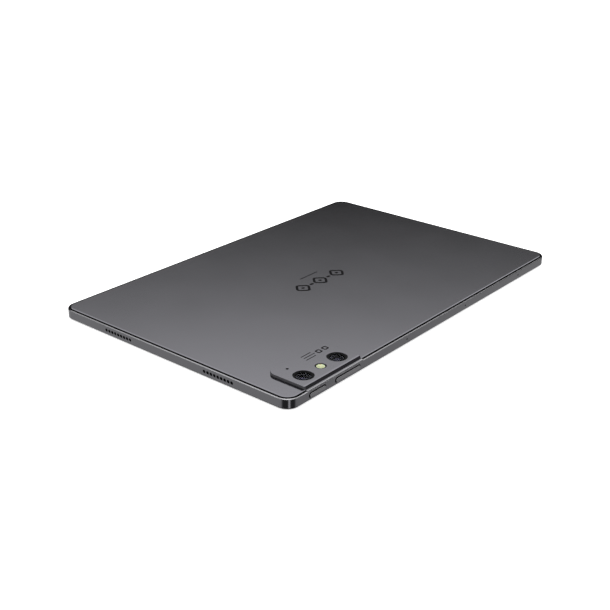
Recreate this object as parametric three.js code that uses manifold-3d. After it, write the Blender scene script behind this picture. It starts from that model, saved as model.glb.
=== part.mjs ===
// A 12-inch tablet computer lying on its display, rear cover up, as an assembly of separate pieces.
// Units are millimetres. +X runs along the long side, +Y along the short side, +Z out of the rear cover.
// The origin is on the front of the glass, in the middle of the body. The buttons are on the -Y edge,
// the port is in the +X edge and the card tray is in the +Y edge.
import * as THREE from 'three';
import { mergeVertices } from 'three/addons/utils/BufferGeometryUtils.js';
import Module from 'manifold-3d';

const wasm = await Module();
wasm.setup();

// ---------------------------------------------------------------- driving dimensions

const LENGTH = 280;             // long side, along X
const WIDTH = 185;              // short side, along Y
const BODY_HEIGHT = 7.3;        // front of the glass to the rear cover's flat
const CORNER_RADIUS = 8;        // plan radius of the four corners
const CORNER_STEPS = 4;         // pairs of straight steps in a quarter circle
const WALL = 2.6;               // thickness of the side frame's wall

const GLASS_INSET = 1.3;        // glass edge, in from the outside of the frame
const GLASS_HEIGHT = 0.65;
const SHELF_BELOW = 0.95;       // the glass is bonded under this level of the frame
const FRAME_FOOT = 0.35;        // lowest level of the frame
const FOOT_CHAMFER = 0.8;       // how far the frame's lower edge is cut in
const FOOT_CHAMFER_TOP = 1.2;
const FRAME_TOP = 6.9;
const TOP_CHAMFER = 0.4;         // how far the frame's upper edge is cut in
const TOP_CHAMFER_HEIGHT = 0.52;
const COVER_SHELF = 6.2;        // the rear cover's rim rests just above this level

const COVER_INSET = 1.3;        // leaves the dark seam between cover and frame
const SEAM = 0.5;
const COVER_RIM_BOTTOM = 6.25;
const COVER_SKIN_BOTTOM = 6.5;
const COVER_BEVEL = 0.7;        // how far the cover's upper edge is cut in
const COVER_BEVEL_HEIGHT = 0.25;
const COVER_RIM_WIDTH = 2.3;

const SIDE_AXIS = 3.65;         // level of every hole and button in the side frame

// The raised camera island sits in a stepped opening in the rear cover. Its outer long wall leans in.
const ISLAND = {
  x0: -124.9, x1: -75.9, y0: -91.4, y1: -62.8, bottom: 6.84, foot: 7.28, top: 8.9, radius: 6,
};
const ISLAND_LEAN = 0.95;       // how far the outer long wall leans in from foot to bevel
const ISLAND_BEVEL = 0.25;
const ISLAND_GAP = 0.15;        // clearance round the island in the cover
const ISLAND_LEDGE = 2.7;       // the island overlaps the lower part of its opening by this much
const SPIGOT_BOTTOM = 6.6;
const LIP = { bottom: 6.4, top: 6.9, leg: 0.6, inner: -90.8 };   // carries the island over the seam
const LENS_X = [-115.1, -85.7];
const LENS_Y = -81.4;
const LENS_HOLE_RADIUS = 5.95;
const FLASH = { x: -100.4, y: -81.5, radius: 3.3 };
const REAR_MICROPHONE = { x: -115.2, y: -69.9, radius: 0.55 };

// Buttons in the -Y edge.
const POWER = { x: -116.45, length: 13.5 };
const VOLUME = { x: -89.8, length: 22 };
const BUTTON_HEIGHT = 2.3;
const BUTTON_PROUD = 0.45;
const BUTTON_GAP = 0.2;
const FLANGE = { outer: -89.5, inner: -89.05, overhang: 1.4, height: 2.1 };
const NUB = { tip: -88.7, length: 3, height: 1.4 };
const SWITCH = { face: -88.4, back: -87.55, length: 3.6, height: 2.6 };
const VOLUME_NUB_OFFSET = 7.5;

// Sound openings.
const SPEAKER_HOLES = 9;
const SPEAKER_PITCH = 2.61;
const SPEAKER_HOLE_RADIUS = 0.7;
const SPEAKER_Y = 41;
const SPEAKER = { length: 26, depth: 16.4, bottom: 3.08, top: 6.1 };
const EDGE_MICROPHONE_X = [-32.4, 32.4, 99.9];
const EDGE_MICROPHONE_RADIUS = 0.5;

// USB-C socket in the +X edge.
const PORT = { width: 8.94, height: 3.26, wall: 0.3, mouth: 139.7, back: 132.5 };

// Card tray in the +Y edge.
const TRAY = { x: -97, headLength: 17.2, headHeight: 2.3, width: 14.4, depth: 32, bottom: 3.25, top: 4.3 };

// Stack of layers behind the display.
const PANEL = { width: 264, height: 167, bottom: 0.7, top: 1.3 };
const BACKLIGHT = { width: 263, height: 166, bottom: 1.35, top: 2.4 };
const PLATE = { x: 135.6, y0: -86.8, y1: 89.7, bottom: 2.62, top: 3.02 };
const BATTERY = { width: 88, depth: 104, x: [-26, 65], y: 2, bottom: 3.08, top: 6.28 };
const BOARD = { x0: -117, x1: -76, y0: -56, y1: 87, bottom: 4.55, top: 5.25 };
const PORT_BOARD = { x0: 112, x1: 132.3, y: 14, bottom: 3.1, top: 3.7 };

const SCREW = { shank: 0.65, head: 1.5, headHeight: 0.5, drive: 0.5 };
const SCREW_HOLE = 0.85;
const BOARD_SCREWS = [[-114, -52], [-79, -52], [-114, 84], [-79, 84]];
const PORT_SCREWS = [[116, -11], [116, 11]];

const LAP = 1;                  // how far a cutting tool runs past the face that it cuts

// ---------------------------------------------------------------- finishes

const finish = (color, roughness, metalness) => () =>
  new THREE.MeshStandardMaterial({ color, roughness, metalness });

const FINISH = {
  coverMetal: finish(0x6b6a70, 0.42, 0.9),
  frameMetal: finish(0x626166, 0.35, 0.95),
  buttonMetal: finish(0x74737a, 0.35, 0.95),
  blackGlass: finish(0x08080a, 0.05, 0),
  clearGlass: finish(0x1a1a20, 0.03, 0),
  blackTrim: finish(0x101012, 0.3, 0.4),
  diffuser: finish(0xe9efb4, 0.35, 0),
  foam: finish(0x1b1b1b, 0.95, 0),
  display: finish(0x0c0d10, 0.2, 0),
  steel: finish(0xa9abae, 0.35, 0.9),
  plate: finish(0xb4b6b9, 0.4, 0.9),
  backlight: finish(0xdcdee2, 0.3, 0),
  board: finish(0x17382b, 0.5, 0.1),
  battery: finish(0x2c2d31, 0.6, 0.2),
  flex: finish(0x9a6a2c, 0.5, 0.1),
  plastic: finish(0x161618, 0.6, 0),
  graphite: finish(0x3a3b3e, 0.5, 0.5),
};

// ---------------------------------------------------------------- shape helpers

// Points of a rounded rectangle about the origin, counter-clockwise, with one radius for each corner
// in the order (+x,+y), (-x,+y), (-x,-y), (+x,-y). Every inset of one outline has as many points.
function outline(width, height, radii, inset = 0, steps = CORNER_STEPS) {
  const corners = [[1, 1], [-1, 1], [-1, -1], [1, -1]];
  const all = Array.isArray(radii) ? radii : [radii, radii, radii, radii];
  const points = [];
  corners.forEach(([sx, sy], k) => {
    const r = all[k] - inset;
    const cx = sx * (width / 2 - all[k]);
    const cy = sy * (height / 2 - all[k]);
    const arc = new THREE.Path().absarc(cx, cy, r, (k * Math.PI) / 2, ((k + 1) * Math.PI) / 2, false);
    points.push(...arc.getPoints(steps));
  });
  return points;
}

// A closed body through a stack of outlines with equal numbers of points, given from low to high.
function stack(levels) {
  const count = levels[0].points.length;
  const position = [];
  for (const { points, z } of levels) {
    for (const p of points) position.push(p.x, p.y, z);
  }
  const index = [];
  for (let k = 0; k < levels.length - 1; k++) {
    for (let i = 0; i < count; i++) {
      const a = k * count + i;
      const b = k * count + ((i + 1) % count);
      index.push(a, b, b + count, a, b + count, a + count);
    }
  }
  const last = (levels.length - 1) * count;
  for (const [a, b, c] of THREE.ShapeUtils.triangulateShape(levels[0].points, [])) {
    index.push(c, b, a);
    index.push(last + a, last + b, last + c);
  }
  const geometry = new THREE.BufferGeometry();
  geometry.setAttribute('position', new THREE.Float32BufferAttribute(position, 3));
  geometry.setIndex(index);
  return geometry;
}

// A rounded slab: levels are [z, inset] pairs from low to high.
function slab(width, height, radii, levels, steps = CORNER_STEPS) {
  return stack(levels.map(([z, inset]) => ({ points: outline(width, height, radii, inset, steps), z })));
}

// A plain block between two corners.
function block(x0, x1, y0, y1, z0, z1) {
  return new THREE.BoxGeometry(x1 - x0, y1 - y0, z1 - z0)
    .translate((x0 + x1) / 2, (y0 + y1) / 2, (z0 + z1) / 2);
}

// An upright cylinder.
function rod(x, y, radius, z0, z1, sides = 24) {
  return new THREE.CylinderGeometry(radius, radius, z1 - z0, sides)
    .rotateX(Math.PI / 2)
    .translate(x, y, (z0 + z1) / 2);
}

// A round-ended bar that lies along X, from y0 to y1 through the -Y or +Y edge.
function pillThroughY(x, z, length, height, y0, y1, bevel = 0, steps = 3) {
  const levels = bevel ? [[0, bevel], [bevel, 0], [y1 - y0, 0]] : [[0, 0], [y1 - y0, 0]];
  return slab(length, height, height / 2 - 0.01, levels, steps)
    .rotateX(-Math.PI / 2)
    .translate(x, y0, z);
}

// The same bar along Y, from x0 to x1 through the -X or +X edge.
function pillThroughX(y, z, length, height, x0, x1, steps = 3) {
  return slab(height, length, height / 2 - 0.01, [[0, 0], [x1 - x0, 0]], steps)
    .rotateY(Math.PI / 2)
    .translate(x0, y, z);
}

// A ribbon of even thickness along a line in the XZ plane, as wide as y1 - y0.
function ribbon(line, thickness, y0, y1) {
  const path = line.map(([x, z]) => new THREE.Vector2(x, z));
  const side = (sign) => path.map((p, i) => {
    const before = path[Math.max(i - 1, 0)];
    const after = path[Math.min(i + 1, path.length - 1)];
    const along = after.clone().sub(before).normalize();
    return new THREE.Vector2(-along.y, along.x).multiplyScalar((sign * thickness) / 2).add(p);
  });
  const shape = new THREE.Shape([...side(-1), ...side(1).reverse()]);
  return new THREE.ExtrudeGeometry(shape, { depth: y1 - y0, bevelEnabled: false })
    .rotateX(Math.PI / 2)
    .translate(0, y1, 0);
}

// ---------------------------------------------------------------- solid helpers

// A closed geometry as a solid that can be joined and cut.
function solid(geometry) {
  const bare = geometry.clone();
  bare.deleteAttribute('normal');
  bare.deleteAttribute('uv');
  const merged = mergeVertices(bare, 1e-4);
  return new wasm.Manifold(new wasm.Mesh({
    numProp: 3,
    vertProperties: merged.attributes.position.array,
    triVerts: new Uint32Array(merged.index.array),
  }));
}

const join = (first, ...others) => others.reduce((made, g) => made.add(solid(g)), solid(first));
const cut = (body, ...tools) => tools.reduce((made, g) => made.subtract(solid(g)), body);

function geometryOf(body) {
  const mesh = body.getMesh();
  const geometry = new THREE.BufferGeometry();
  geometry.setAttribute('position', new THREE.BufferAttribute(new Float32Array(mesh.vertProperties), 3));
  geometry.setIndex(new THREE.BufferAttribute(new Uint32Array(mesh.triVerts), 1));
  return geometry;
}

function piece(name, shape, material) {
  const geometry = shape.isBufferGeometry ? shape : geometryOf(shape);
  const mesh = new THREE.Mesh(geometry, material());
  mesh.name = name;
  return mesh;
}

function group(...members) {
  const made = new THREE.Group();
  made.add(...members.flat());
  return made;
}

// ---------------------------------------------------------------- housing

const body = (levels) => slab(LENGTH, WIDTH, CORNER_RADIUS, levels);

function speakerHoles() {
  const holes = [];
  for (const side of [-1, 1]) {
    for (const row of [-1, 1]) {
      for (let i = 0; i < SPEAKER_HOLES; i++) {
        const y = row * SPEAKER_Y + (i - (SPEAKER_HOLES - 1) / 2) * SPEAKER_PITCH;
        const hole = new THREE.CylinderGeometry(SPEAKER_HOLE_RADIUS, SPEAKER_HOLE_RADIUS, WALL + 2 * LAP, 10)
          .rotateZ(Math.PI / 2)
          .translate(side * (LENGTH - WALL) / 2, y, SIDE_AXIS);
        holes.push(hole);
      }
    }
  }
  return holes;
}

function microphoneHoles() {
  return EDGE_MICROPHONE_X.map((x) =>
    new THREE.CylinderGeometry(EDGE_MICROPHONE_RADIUS, EDGE_MICROPHONE_RADIUS, WALL + 2 * LAP, 12)
      .translate(x, -(WIDTH - WALL) / 2, SIDE_AXIS));
}

// The ring round the body: glass recess below, cover recess above, and every opening in the edges.
function sideFrame() {
  const outside = solid(body([
    [FRAME_FOOT, FOOT_CHAMFER],
    [FOOT_CHAMFER_TOP, 0],
    [FRAME_TOP - TOP_CHAMFER_HEIGHT, 0],
    [FRAME_TOP, TOP_CHAMFER],
  ]));
  const outer = -WIDTH / 2 - LAP;
  const inner = -WIDTH / 2 + WALL + LAP;
  const opening = (b) => pillThroughY(
    b.x, SIDE_AXIS, b.length + 2 * BUTTON_GAP, BUTTON_HEIGHT + 2 * BUTTON_GAP, outer, inner);
  return cut(
    outside,
    body([[0, WALL], [BODY_HEIGHT, WALL]]),
    body([[0, GLASS_INSET - 0.1], [SHELF_BELOW, GLASS_INSET - 0.1]]),
    body([[COVER_SHELF, COVER_INSET - SEAM], [BODY_HEIGHT, COVER_INSET - SEAM]]),
    block(ISLAND.x0 - 0.1, ISLAND.x1 + 0.1, outer, inner, LIP.bottom - 0.05, BODY_HEIGHT),
    opening(POWER),
    opening(VOLUME),
    pillThroughY(
      TRAY.x, SIDE_AXIS, TRAY.headLength + 2 * BUTTON_GAP, TRAY.headHeight + 2 * BUTTON_GAP,
      -inner, -outer),
    pillThroughX(
      0, SIDE_AXIS, PORT.width + 0.36, PORT.height + 0.36,
      LENGTH / 2 - WALL - LAP, LENGTH / 2 + LAP),
    ...speakerHoles(),
    ...microphoneHoles(),
  );
}

// The machined rear cover: a thicker rim, a thinner skin, and a stepped opening for the camera island.
// The upper step runs out through the cover's edge.
function rearCover() {
  const plate = solid(body([
    [COVER_RIM_BOTTOM, COVER_INSET],
    [BODY_HEIGHT - COVER_BEVEL_HEIGHT, COVER_INSET],
    [BODY_HEIGHT, COVER_INSET + COVER_BEVEL],
  ]));
  const pocketInset = COVER_INSET + COVER_RIM_WIDTH;
  return cut(
    plate,
    body([[COVER_RIM_BOTTOM - LAP, pocketInset], [COVER_SKIN_BOTTOM, pocketInset]]),
    islandStack([[COVER_RIM_BOTTOM - LAP, ISLAND_LEDGE - 0.2], [BODY_HEIGHT + LAP, ISLAND_LEDGE - 0.2]]),
    islandStack([
      [ISLAND.bottom - 0.04, -ISLAND_GAP, -COVER_INSET],
      [BODY_HEIGHT + LAP, -ISLAND_GAP, -COVER_INSET],
    ]),
  );
}

const frontGlass = () => body([
  [0, GLASS_INSET + 0.35],
  [0.2, GLASS_INSET + 0.05],
  [0.3, GLASS_INSET],
  [GLASS_HEIGHT, GLASS_INSET],
]);

const glassAdhesive = () => cut(
  solid(body([[0.69, GLASS_INSET + 0.1], [0.91, GLASS_INSET + 0.1]])),
  body([[0, WALL], [2, WALL]]),
);

// ---------------------------------------------------------------- camera island

// A body on the island's plan: levels are [z, inset, lean] from low to high, where lean moves the outer long
// side in. The two inner corners are round and the two outer ones sharp.
function islandStack(levels) {
  const middle = (ISLAND.x0 + ISLAND.x1) / 2;
  return stack(levels.map(([z, inset, lean = 0]) => {
    const depth = ISLAND.y1 - ISLAND.y0 - lean;
    const round = ISLAND.radius - Math.min(inset, 3);
    const plan = outline(ISLAND.x1 - ISLAND.x0 - 2 * inset, depth - 2 * inset, [round, round, 0.6, 0.6]);
    return { points: plan.map((p) => p.add(new THREE.Vector2(middle, ISLAND.y1 - depth / 2))), z };
  }));
}

// The lip along the island's outer long side: it runs over the seam and takes the place of the frame's edge.
function islandLip() {
  const outer = -WIDTH / 2;
  const section = new THREE.Shape([
    [outer, LIP.bottom], [outer + LIP.leg, LIP.bottom], [outer + LIP.leg, ISLAND.bottom],
    [LIP.inner, ISLAND.bottom], [LIP.inner, ISLAND.foot], [ISLAND.y0, ISLAND.foot], [outer, LIP.top],
  ].map(([y, z]) => new THREE.Vector2(y, z)));
  return new THREE.ExtrudeGeometry(section, { depth: ISLAND.x1 - ISLAND.x0, bevelEnabled: false })
    .rotateX(Math.PI / 2)
    .rotateZ(Math.PI / 2)
    .translate(ISLAND.x0, 0, 0);
}

function cameraIsland() {
  const made = join(
    islandStack([
      [ISLAND.bottom, 0],
      [ISLAND.foot, 0],
      [ISLAND.top - ISLAND_BEVEL, 0, ISLAND_LEAN],
      [ISLAND.top, ISLAND_BEVEL, ISLAND_LEAN],
    ]),
    islandStack([[SPIGOT_BOTTOM, ISLAND_LEDGE], [ISLAND.bottom + 0.2, ISLAND_LEDGE]]),
    islandLip(),
  );
  const top = ISLAND.top + LAP;
  const foot = SPIGOT_BOTTOM - LAP;
  const lensHoles = LENS_X.flatMap((x) => [
    rod(x, LENS_Y, LENS_HOLE_RADIUS, 7.5, top),
    rod(x, LENS_Y, 4.9, foot, top, 16),
  ]);
  return cut(
    made,
    ...lensHoles,
    rod(FLASH.x, FLASH.y, FLASH.radius, 7.7, top),
    rod(FLASH.x, FLASH.y, 2.3, foot, top),
    rod(REAR_MICROPHONE.x, REAR_MICROPHONE.y, REAR_MICROPHONE.radius, foot, top, 12),
  );
}

// A turned part about the Z axis, from a closed profile of [radius, z] points.
function turned(profile, sides = 24) {
  return new THREE.LatheGeometry(profile.map(([r, z]) => new THREE.Vector2(r, z)), sides)
    .rotateX(Math.PI / 2);
}

const lensRing = () => turned([
  [4.4, 7.6], [5.8, 7.6], [5.8, 8.7], [5.72, 8.78], [5.3, 8.78], [4.9, 8.5], [4.4, 8.32], [4.4, 7.6],
]);
const lensWindow = () => turned([[0, 7.75], [4.3, 7.75], [4.3, 8.2], [4.2, 8.25], [0, 8.25]]);

// One rear camera about its own optical axis: ring, window, module and the barrel that focuses.
function rearCamera(number, x) {
  const module = cut(
    solid(block(-4.75, 4.75, -4.75, 4.75, 3.08, 6.5)),
    rod(0, 0, 3.4, 4.1, 6.5 + LAP),
  );
  const barrel = turned([
    [0, 4.4], [2.7, 4.4], [2.7, 5.2], [3.05, 5.4], [3.05, 6.9],
    [2.75, 7.2], [2.2, 7.2], [1.5, 6.9], [0, 6.75],
  ]);
  const made = group(
    piece(`lens_ring_${number}`, lensRing(), FINISH.blackTrim),
    piece(`lens_window_${number}`, lensWindow(), FINISH.clearGlass),
    piece(`camera_module_${number}`, module, FINISH.plastic),
    piece(`lens_barrel_${number}`, barrel, FINISH.blackTrim),
  );
  made.position.set(x, LENS_Y, 0);
  return made;
}

function flash() {
  const diffuser = turned([[0, 7.75], [3.1, 7.75], [3.1, 8.55], [2.6, 8.7], [0, 8.74]], 24);
  const led = join(block(-2.5, 2.5, -2.5, 2.5, 6, 6.5), block(-1.2, 1.2, -1.2, 1.2, 6.4, 7.6));
  const made = group(
    piece('flash_diffuser', diffuser, FINISH.diffuser),
    piece('flash_led', led, FINISH.board),
  );
  made.position.set(FLASH.x, FLASH.y, 0);
  return made;
}

const rearMicrophone = () => block(
  REAR_MICROPHONE.x - 1.75, REAR_MICROPHONE.x + 1.75,
  REAR_MICROPHONE.y - 1.3, REAR_MICROPHONE.y + 1.3, 5.4, 6.5);

// ---------------------------------------------------------------- buttons

// A key cap that passes through the frame, a flange that keeps it in, and nubs that meet the switches.
function button(spec, nubOffsets) {
  const half = spec.length / 2 + FLANGE.overhang;
  const flange = block(
    spec.x - half, spec.x + half, FLANGE.outer, FLANGE.inner,
    SIDE_AXIS - FLANGE.height / 2, SIDE_AXIS + FLANGE.height / 2);
  const cap = pillThroughY(
    spec.x, SIDE_AXIS, spec.length, BUTTON_HEIGHT, -WIDTH / 2 - BUTTON_PROUD, FLANGE.outer + 0.1, 0.2);
  const nubs = nubOffsets.map((dx) => block(
    spec.x + dx - NUB.length / 2, spec.x + dx + NUB.length / 2, FLANGE.inner - 0.1, NUB.tip,
    SIDE_AXIS - NUB.height / 2, SIDE_AXIS + NUB.height / 2));
  return join(cap, flange, ...nubs);
}

function tactSwitch(x) {
  return join(
    block(x - SWITCH.length / 2, x + SWITCH.length / 2, SWITCH.face + 0.3, SWITCH.back,
      SIDE_AXIS - SWITCH.height / 2, SIDE_AXIS + SWITCH.height / 2),
    block(x - 0.9, x + 0.9, SWITCH.face, SWITCH.face + 0.4, SIDE_AXIS - 0.6, SIDE_AXIS + 0.6),
  );
}

const buttonBracket = () => block(-126, -77, -87.5, -87.2, 3.1, 5.6);

// ---------------------------------------------------------------- sound

function speaker(side, row) {
  const outer = LENGTH / 2 - WALL - 0.3;
  const box = cut(
    solid(block(
      outer - SPEAKER.depth, outer, -SPEAKER.length / 2, SPEAKER.length / 2,
      SPEAKER.bottom, SPEAKER.top)),
    block(outer - 0.8, outer + LAP, -12, 12, SPEAKER.bottom + 0.2, 4.7),
    block(outer - 14, outer - 3, -10.5, 10.5, SPEAKER.top - 0.4, SPEAKER.top + LAP),
  );
  return side > 0 ? placed(geometryOf(box), 0, row * SPEAKER_Y) : mirroredX(geometryOf(box), row * SPEAKER_Y);
}

function placed(geometry, x, y) {
  return geometry.translate(x, y, 0);
}

// Turned half a circle about Z, which keeps the faces pointing out.
function mirroredX(geometry, y) {
  return geometry.rotateZ(Math.PI).translate(0, y, 0);
}

function speakerMesh(side, row) {
  const x0 = side * (LENGTH / 2 - WALL - 0.05);
  const x1 = side * (LENGTH / 2 - WALL - 0.22);
  return block(
    Math.min(x0, x1), Math.max(x0, x1), row * SPEAKER_Y - 12.3, row * SPEAKER_Y + 12.3, 2.6, 4.7);
}

function edgeMicrophone(x) {
  const y = -WIDTH / 2 + WALL + 0.05;
  return block(x - 2, x + 2, y, y + 1.1, 2.3, 5);
}

// ---------------------------------------------------------------- port, tray and boards

function portShell() {
  return cut(
    solid(pillThroughX(0, SIDE_AXIS, PORT.width, PORT.height, PORT.back, PORT.mouth)),
    pillThroughX(0, SIDE_AXIS, PORT.width - 2 * PORT.wall, PORT.height - 2 * PORT.wall,
      PORT.back - LAP, PORT.mouth + LAP),
  );
}

const portTongue = () => join(
  pillThroughX(0, SIDE_AXIS, 8.2, 2.4, PORT.back, PORT.back + 1),
  block(PORT.back + 0.5, PORT.mouth - 1, -3.35, 3.35, SIDE_AXIS - 0.35, SIDE_AXIS + 0.35),
);

// The tray's head closes the slot in the frame, and its body has pockets for a memory and a SIM card.
function cardTray() {
  const face = WIDTH / 2 - 0.05;
  const half = TRAY.width / 2;
  const tip = face - TRAY.depth;
  const made = join(
    pillThroughY(TRAY.x, SIDE_AXIS, TRAY.headLength, TRAY.headHeight, face - 1.6, face),
    block(TRAY.x - half, TRAY.x + half, tip, face - 1.5, TRAY.bottom, TRAY.top),
  );
  return cut(
    made,
    block(TRAY.x - 5.7, TRAY.x + 5.7, face - 18.6, face - 3.2, TRAY.bottom + 0.3, TRAY.top + LAP),
    block(TRAY.x - 6.3, TRAY.x + 6.3, tip + 1.4, tip + 10.5, TRAY.bottom + 0.3, TRAY.top + LAP),
    new THREE.CylinderGeometry(0.4, 0.4, 4, 12).translate(TRAY.x + 6.9, face - 1.5, SIDE_AXIS),
  );
}

function cardSocket() {
  const half = TRAY.width / 2 + 0.25;
  const back = WIDTH / 2 - TRAY.depth - 0.5;
  const front = WIDTH / 2 - WALL - 0.5;
  return cut(
    solid(block(TRAY.x - half - 1, TRAY.x + half + 1, back - 1, front, 3.04, 4.5)),
    block(TRAY.x - half, TRAY.x + half, back, front + LAP, 3.17, 4.37),
  );
}

// The stiff plate behind the display, with threaded posts for the main board.
function midPlate() {
  const width = 2 * PLATE.x;
  const height = PLATE.y1 - PLATE.y0;
  const sheet = slab(width, height, 4, [[PLATE.bottom, 0], [PLATE.top, 0]], 2)
    .translate(0, (PLATE.y0 + PLATE.y1) / 2, 0);
  const posts = BOARD_SCREWS.map(([x, y]) => rod(x, y, 1.7, PLATE.top - 0.1, BOARD.bottom - 0.04, 16));
  const screwHoles = BOARD_SCREWS.map(([x, y]) => rod(x, y, 0.75, 3.2, BOARD.bottom + LAP, 12));
  const portHoles = PORT_SCREWS.map(([x, y]) => rod(x, y, 0.75, PLATE.bottom - LAP, PLATE.top + LAP, 12));
  return cut(
    join(sheet, ...posts),
    ...screwHoles,
    ...portHoles,
    block(-PLATE.x - LAP, -134, -20, 20, 2, 4),
    block(130.5, PLATE.x + LAP, -6.5, 6.5, 2, 4),
    block(-4.2, 4.2, PLATE.y0 - LAP, -82.8, 2, 4),
  );
}

function mainBoard() {
  return cut(
    solid(block(BOARD.x0, BOARD.x1, BOARD.y0, BOARD.y1, BOARD.bottom, BOARD.top)),
    ...BOARD_SCREWS.map(([x, y]) => rod(x, y, SCREW_HOLE, BOARD.bottom - LAP, BOARD.top + LAP, 12)),
  );
}

function portBoard() {
  return cut(
    solid(block(
      PORT_BOARD.x0, PORT_BOARD.x1, -PORT_BOARD.y, PORT_BOARD.y,
      PORT_BOARD.bottom, PORT_BOARD.top)),
    ...PORT_SCREWS.map(([x, y]) => rod(x, y, SCREW_HOLE, PORT_BOARD.bottom - LAP, PORT_BOARD.top + LAP, 12)),
  );
}

// A pan-head screw standing on the level of its seat, with a cross drive.
function screw(x, y, seat, tip) {
  const top = seat + SCREW.headHeight;
  return cut(
    join(
      rod(x, y, SCREW.shank, tip, seat + 0.2, 12),
      rod(x, y, SCREW.head, seat, top, 16),
    ),
    block(x - 0.9, x + 0.9, y - 0.15, y + 0.15, top - 0.25, top + LAP),
    block(x - 0.15, x + 0.15, y - 0.9, y + 0.9, top - 0.25, top + LAP),
  );
}

// One screw at each place, its head just clear of the board that it holds.
function screws(name, places, board, tip) {
  return places.map(([x, y], i) => piece(`${name}_${i + 1}`, screw(x, y, board + 0.03, tip), FINISH.steel));
}

const LINK_FLEX_LINE = [[-86, 5.32], [-79, 5.32], [-74, 6.38], [109.8, 6.38], [113.6, 3.78], [121, 3.78]];
const DISPLAY_FLEX_LINE = [
  [-124, 2.51], [-134.8, 2.51], [-136, 2.9], [-136.5, 3.5],
  [-136.5, 4.6], [-136, 5.1], [-134.8, 5.37], [-113, 5.37],
];

// One flat layer of the display, centred in the body.
function layer(spec) {
  return slab(spec.width, spec.height, 1.5, [[spec.bottom, 0], [spec.top, 0]], 1);
}

// A soft-pack battery cell with eased edges.
function batteryCell(x) {
  return slab(BATTERY.width, BATTERY.depth, 2.5, [
    [BATTERY.bottom, 0.5],
    [BATTERY.bottom + 0.5, 0],
    [BATTERY.top - 0.5, 0],
    [BATTERY.top, 0.5],
  ], 2).translate(x, BATTERY.y, 0);
}

function shield(x0, x1, y0, y1) {
  return slab(x1 - x0, y1 - y0, 1, [[BOARD.top + 0.03, 0], [6.05, 0], [6.2, 0.15]], 1)
    .translate((x0 + x1) / 2, (y0 + y1) / 2, 0);
}

// ---------------------------------------------------------------- assembly

const housing = group(
  piece('side_frame', sideFrame(), FINISH.frameMetal),
  piece('rear_cover', rearCover(), FINISH.coverMetal),
  piece('front_glass', frontGlass(), FINISH.blackGlass),
  piece('glass_adhesive', glassAdhesive(), FINISH.foam),
  piece('mid_plate', midPlate(), FINISH.plate),
);

const display = group(
  piece('display_panel', layer(PANEL), FINISH.display),
  piece('backlight_unit', layer(BACKLIGHT), FINISH.backlight),
  piece('display_flex', ribbon(DISPLAY_FLEX_LINE, 0.1, -18, 18), FINISH.flex),
  piece('front_camera', join(
    block(-2.9, 2.9, -89.6, -83.8, 1.6, 4.9),
    rod(0, -86.7, 2.1, 0.75, 1.7),
  ), FINISH.plastic),
  piece('light_sensor', block(12.5, 15.5, -87.8, -85.8, 0.75, 1.7), FINISH.plastic),
);

const cameras = group(
  piece('camera_island', cameraIsland(), FINISH.coverMetal),
  ...LENS_X.map((x, i) => rearCamera(i + 1, x)),
  flash(),
  piece('rear_microphone', rearMicrophone(), FINISH.steel),
);

const buttons = group(
  piece('power_button', button(POWER, [0]), FINISH.buttonMetal),
  piece('volume_rocker', button(VOLUME, [-VOLUME_NUB_OFFSET, VOLUME_NUB_OFFSET]), FINISH.buttonMetal),
  piece('power_switch', tactSwitch(POWER.x), FINISH.steel),
  piece('volume_up_switch', tactSwitch(VOLUME.x - VOLUME_NUB_OFFSET), FINISH.steel),
  piece('volume_down_switch', tactSwitch(VOLUME.x + VOLUME_NUB_OFFSET), FINISH.steel),
  piece('button_bracket', buttonBracket(), FINISH.steel),
);

const CORNERS = [[-1, -1], [-1, 1], [1, -1], [1, 1]];
const sound = group(
  ...CORNERS.map(([side, row], i) => piece(`speaker_${i + 1}`, speaker(side, row), FINISH.plastic)),
  ...CORNERS.map(([side, row], i) => piece(`speaker_mesh_${i + 1}`, speakerMesh(side, row), FINISH.foam)),
  ...EDGE_MICROPHONE_X.map((x, i) => piece(`edge_microphone_${i + 1}`, edgeMicrophone(x), FINISH.steel)),
);

const electronics = group(
  piece('main_board', mainBoard(), FINISH.board),
  piece('processor_shield', shield(-111, -88, 12, 50), FINISH.steel),
  piece('radio_shield', shield(-111, -88, -42, -9), FINISH.steel),
  piece('heat_spreader', block(-112, -87, 10, 52, 6.25, 6.42), FINISH.graphite),
  ...BATTERY.x.map((x, i) => piece(`battery_cell_${i + 1}`, batteryCell(x), FINISH.battery)),
  piece('battery_connector', join(
    block(-69, 108, 54.6, 60.4, 3.2, 3.9),
    block(-75.5, -68, 55.5, 59.5, 3.2, 4.2),
  ), FINISH.board),
  piece('link_flex', ribbon(LINK_FLEX_LINE, 0.1, -6, 6), FINISH.flex),
  piece('port_board', portBoard(), FINISH.board),
  piece('port_shell', portShell(), FINISH.steel),
  piece('port_tongue', portTongue(), FINISH.plastic),
  piece('card_tray', cardTray(), FINISH.frameMetal),
  piece('card_socket', cardSocket(), FINISH.steel),
  piece('antenna_1', block(96, 124, 84, 88.5, 3.1, 6.1), FINISH.plastic),
  piece('antenna_2', block(102.5, 128, -88.4, -84, 3.1, 6.1), FINISH.plastic),
  ...screws('board_screw', BOARD_SCREWS, BOARD.top, 3.4),
  ...screws('port_screw', PORT_SCREWS, PORT_BOARD.top, PLATE.bottom + 0.05),
);

export default group(housing, display, cameras, buttons, sound, electronics);
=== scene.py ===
"""A tablet computer that lies on its display with the rear cover up, in a plain pale studio.

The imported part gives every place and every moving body. This file gives the visible pieces finer
edges and real finishes. Sizes in the classes are in millimetres, in the frame of the part: +X
along the long side, +Y along the short side, +Z out of the rear cover.
"""

import logging
import math
from dataclasses import dataclass, field
from enum import Enum
from typing import Iterable, Optional, Sequence

import bmesh
import bpy
from mathutils import Matrix, Vector


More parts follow.
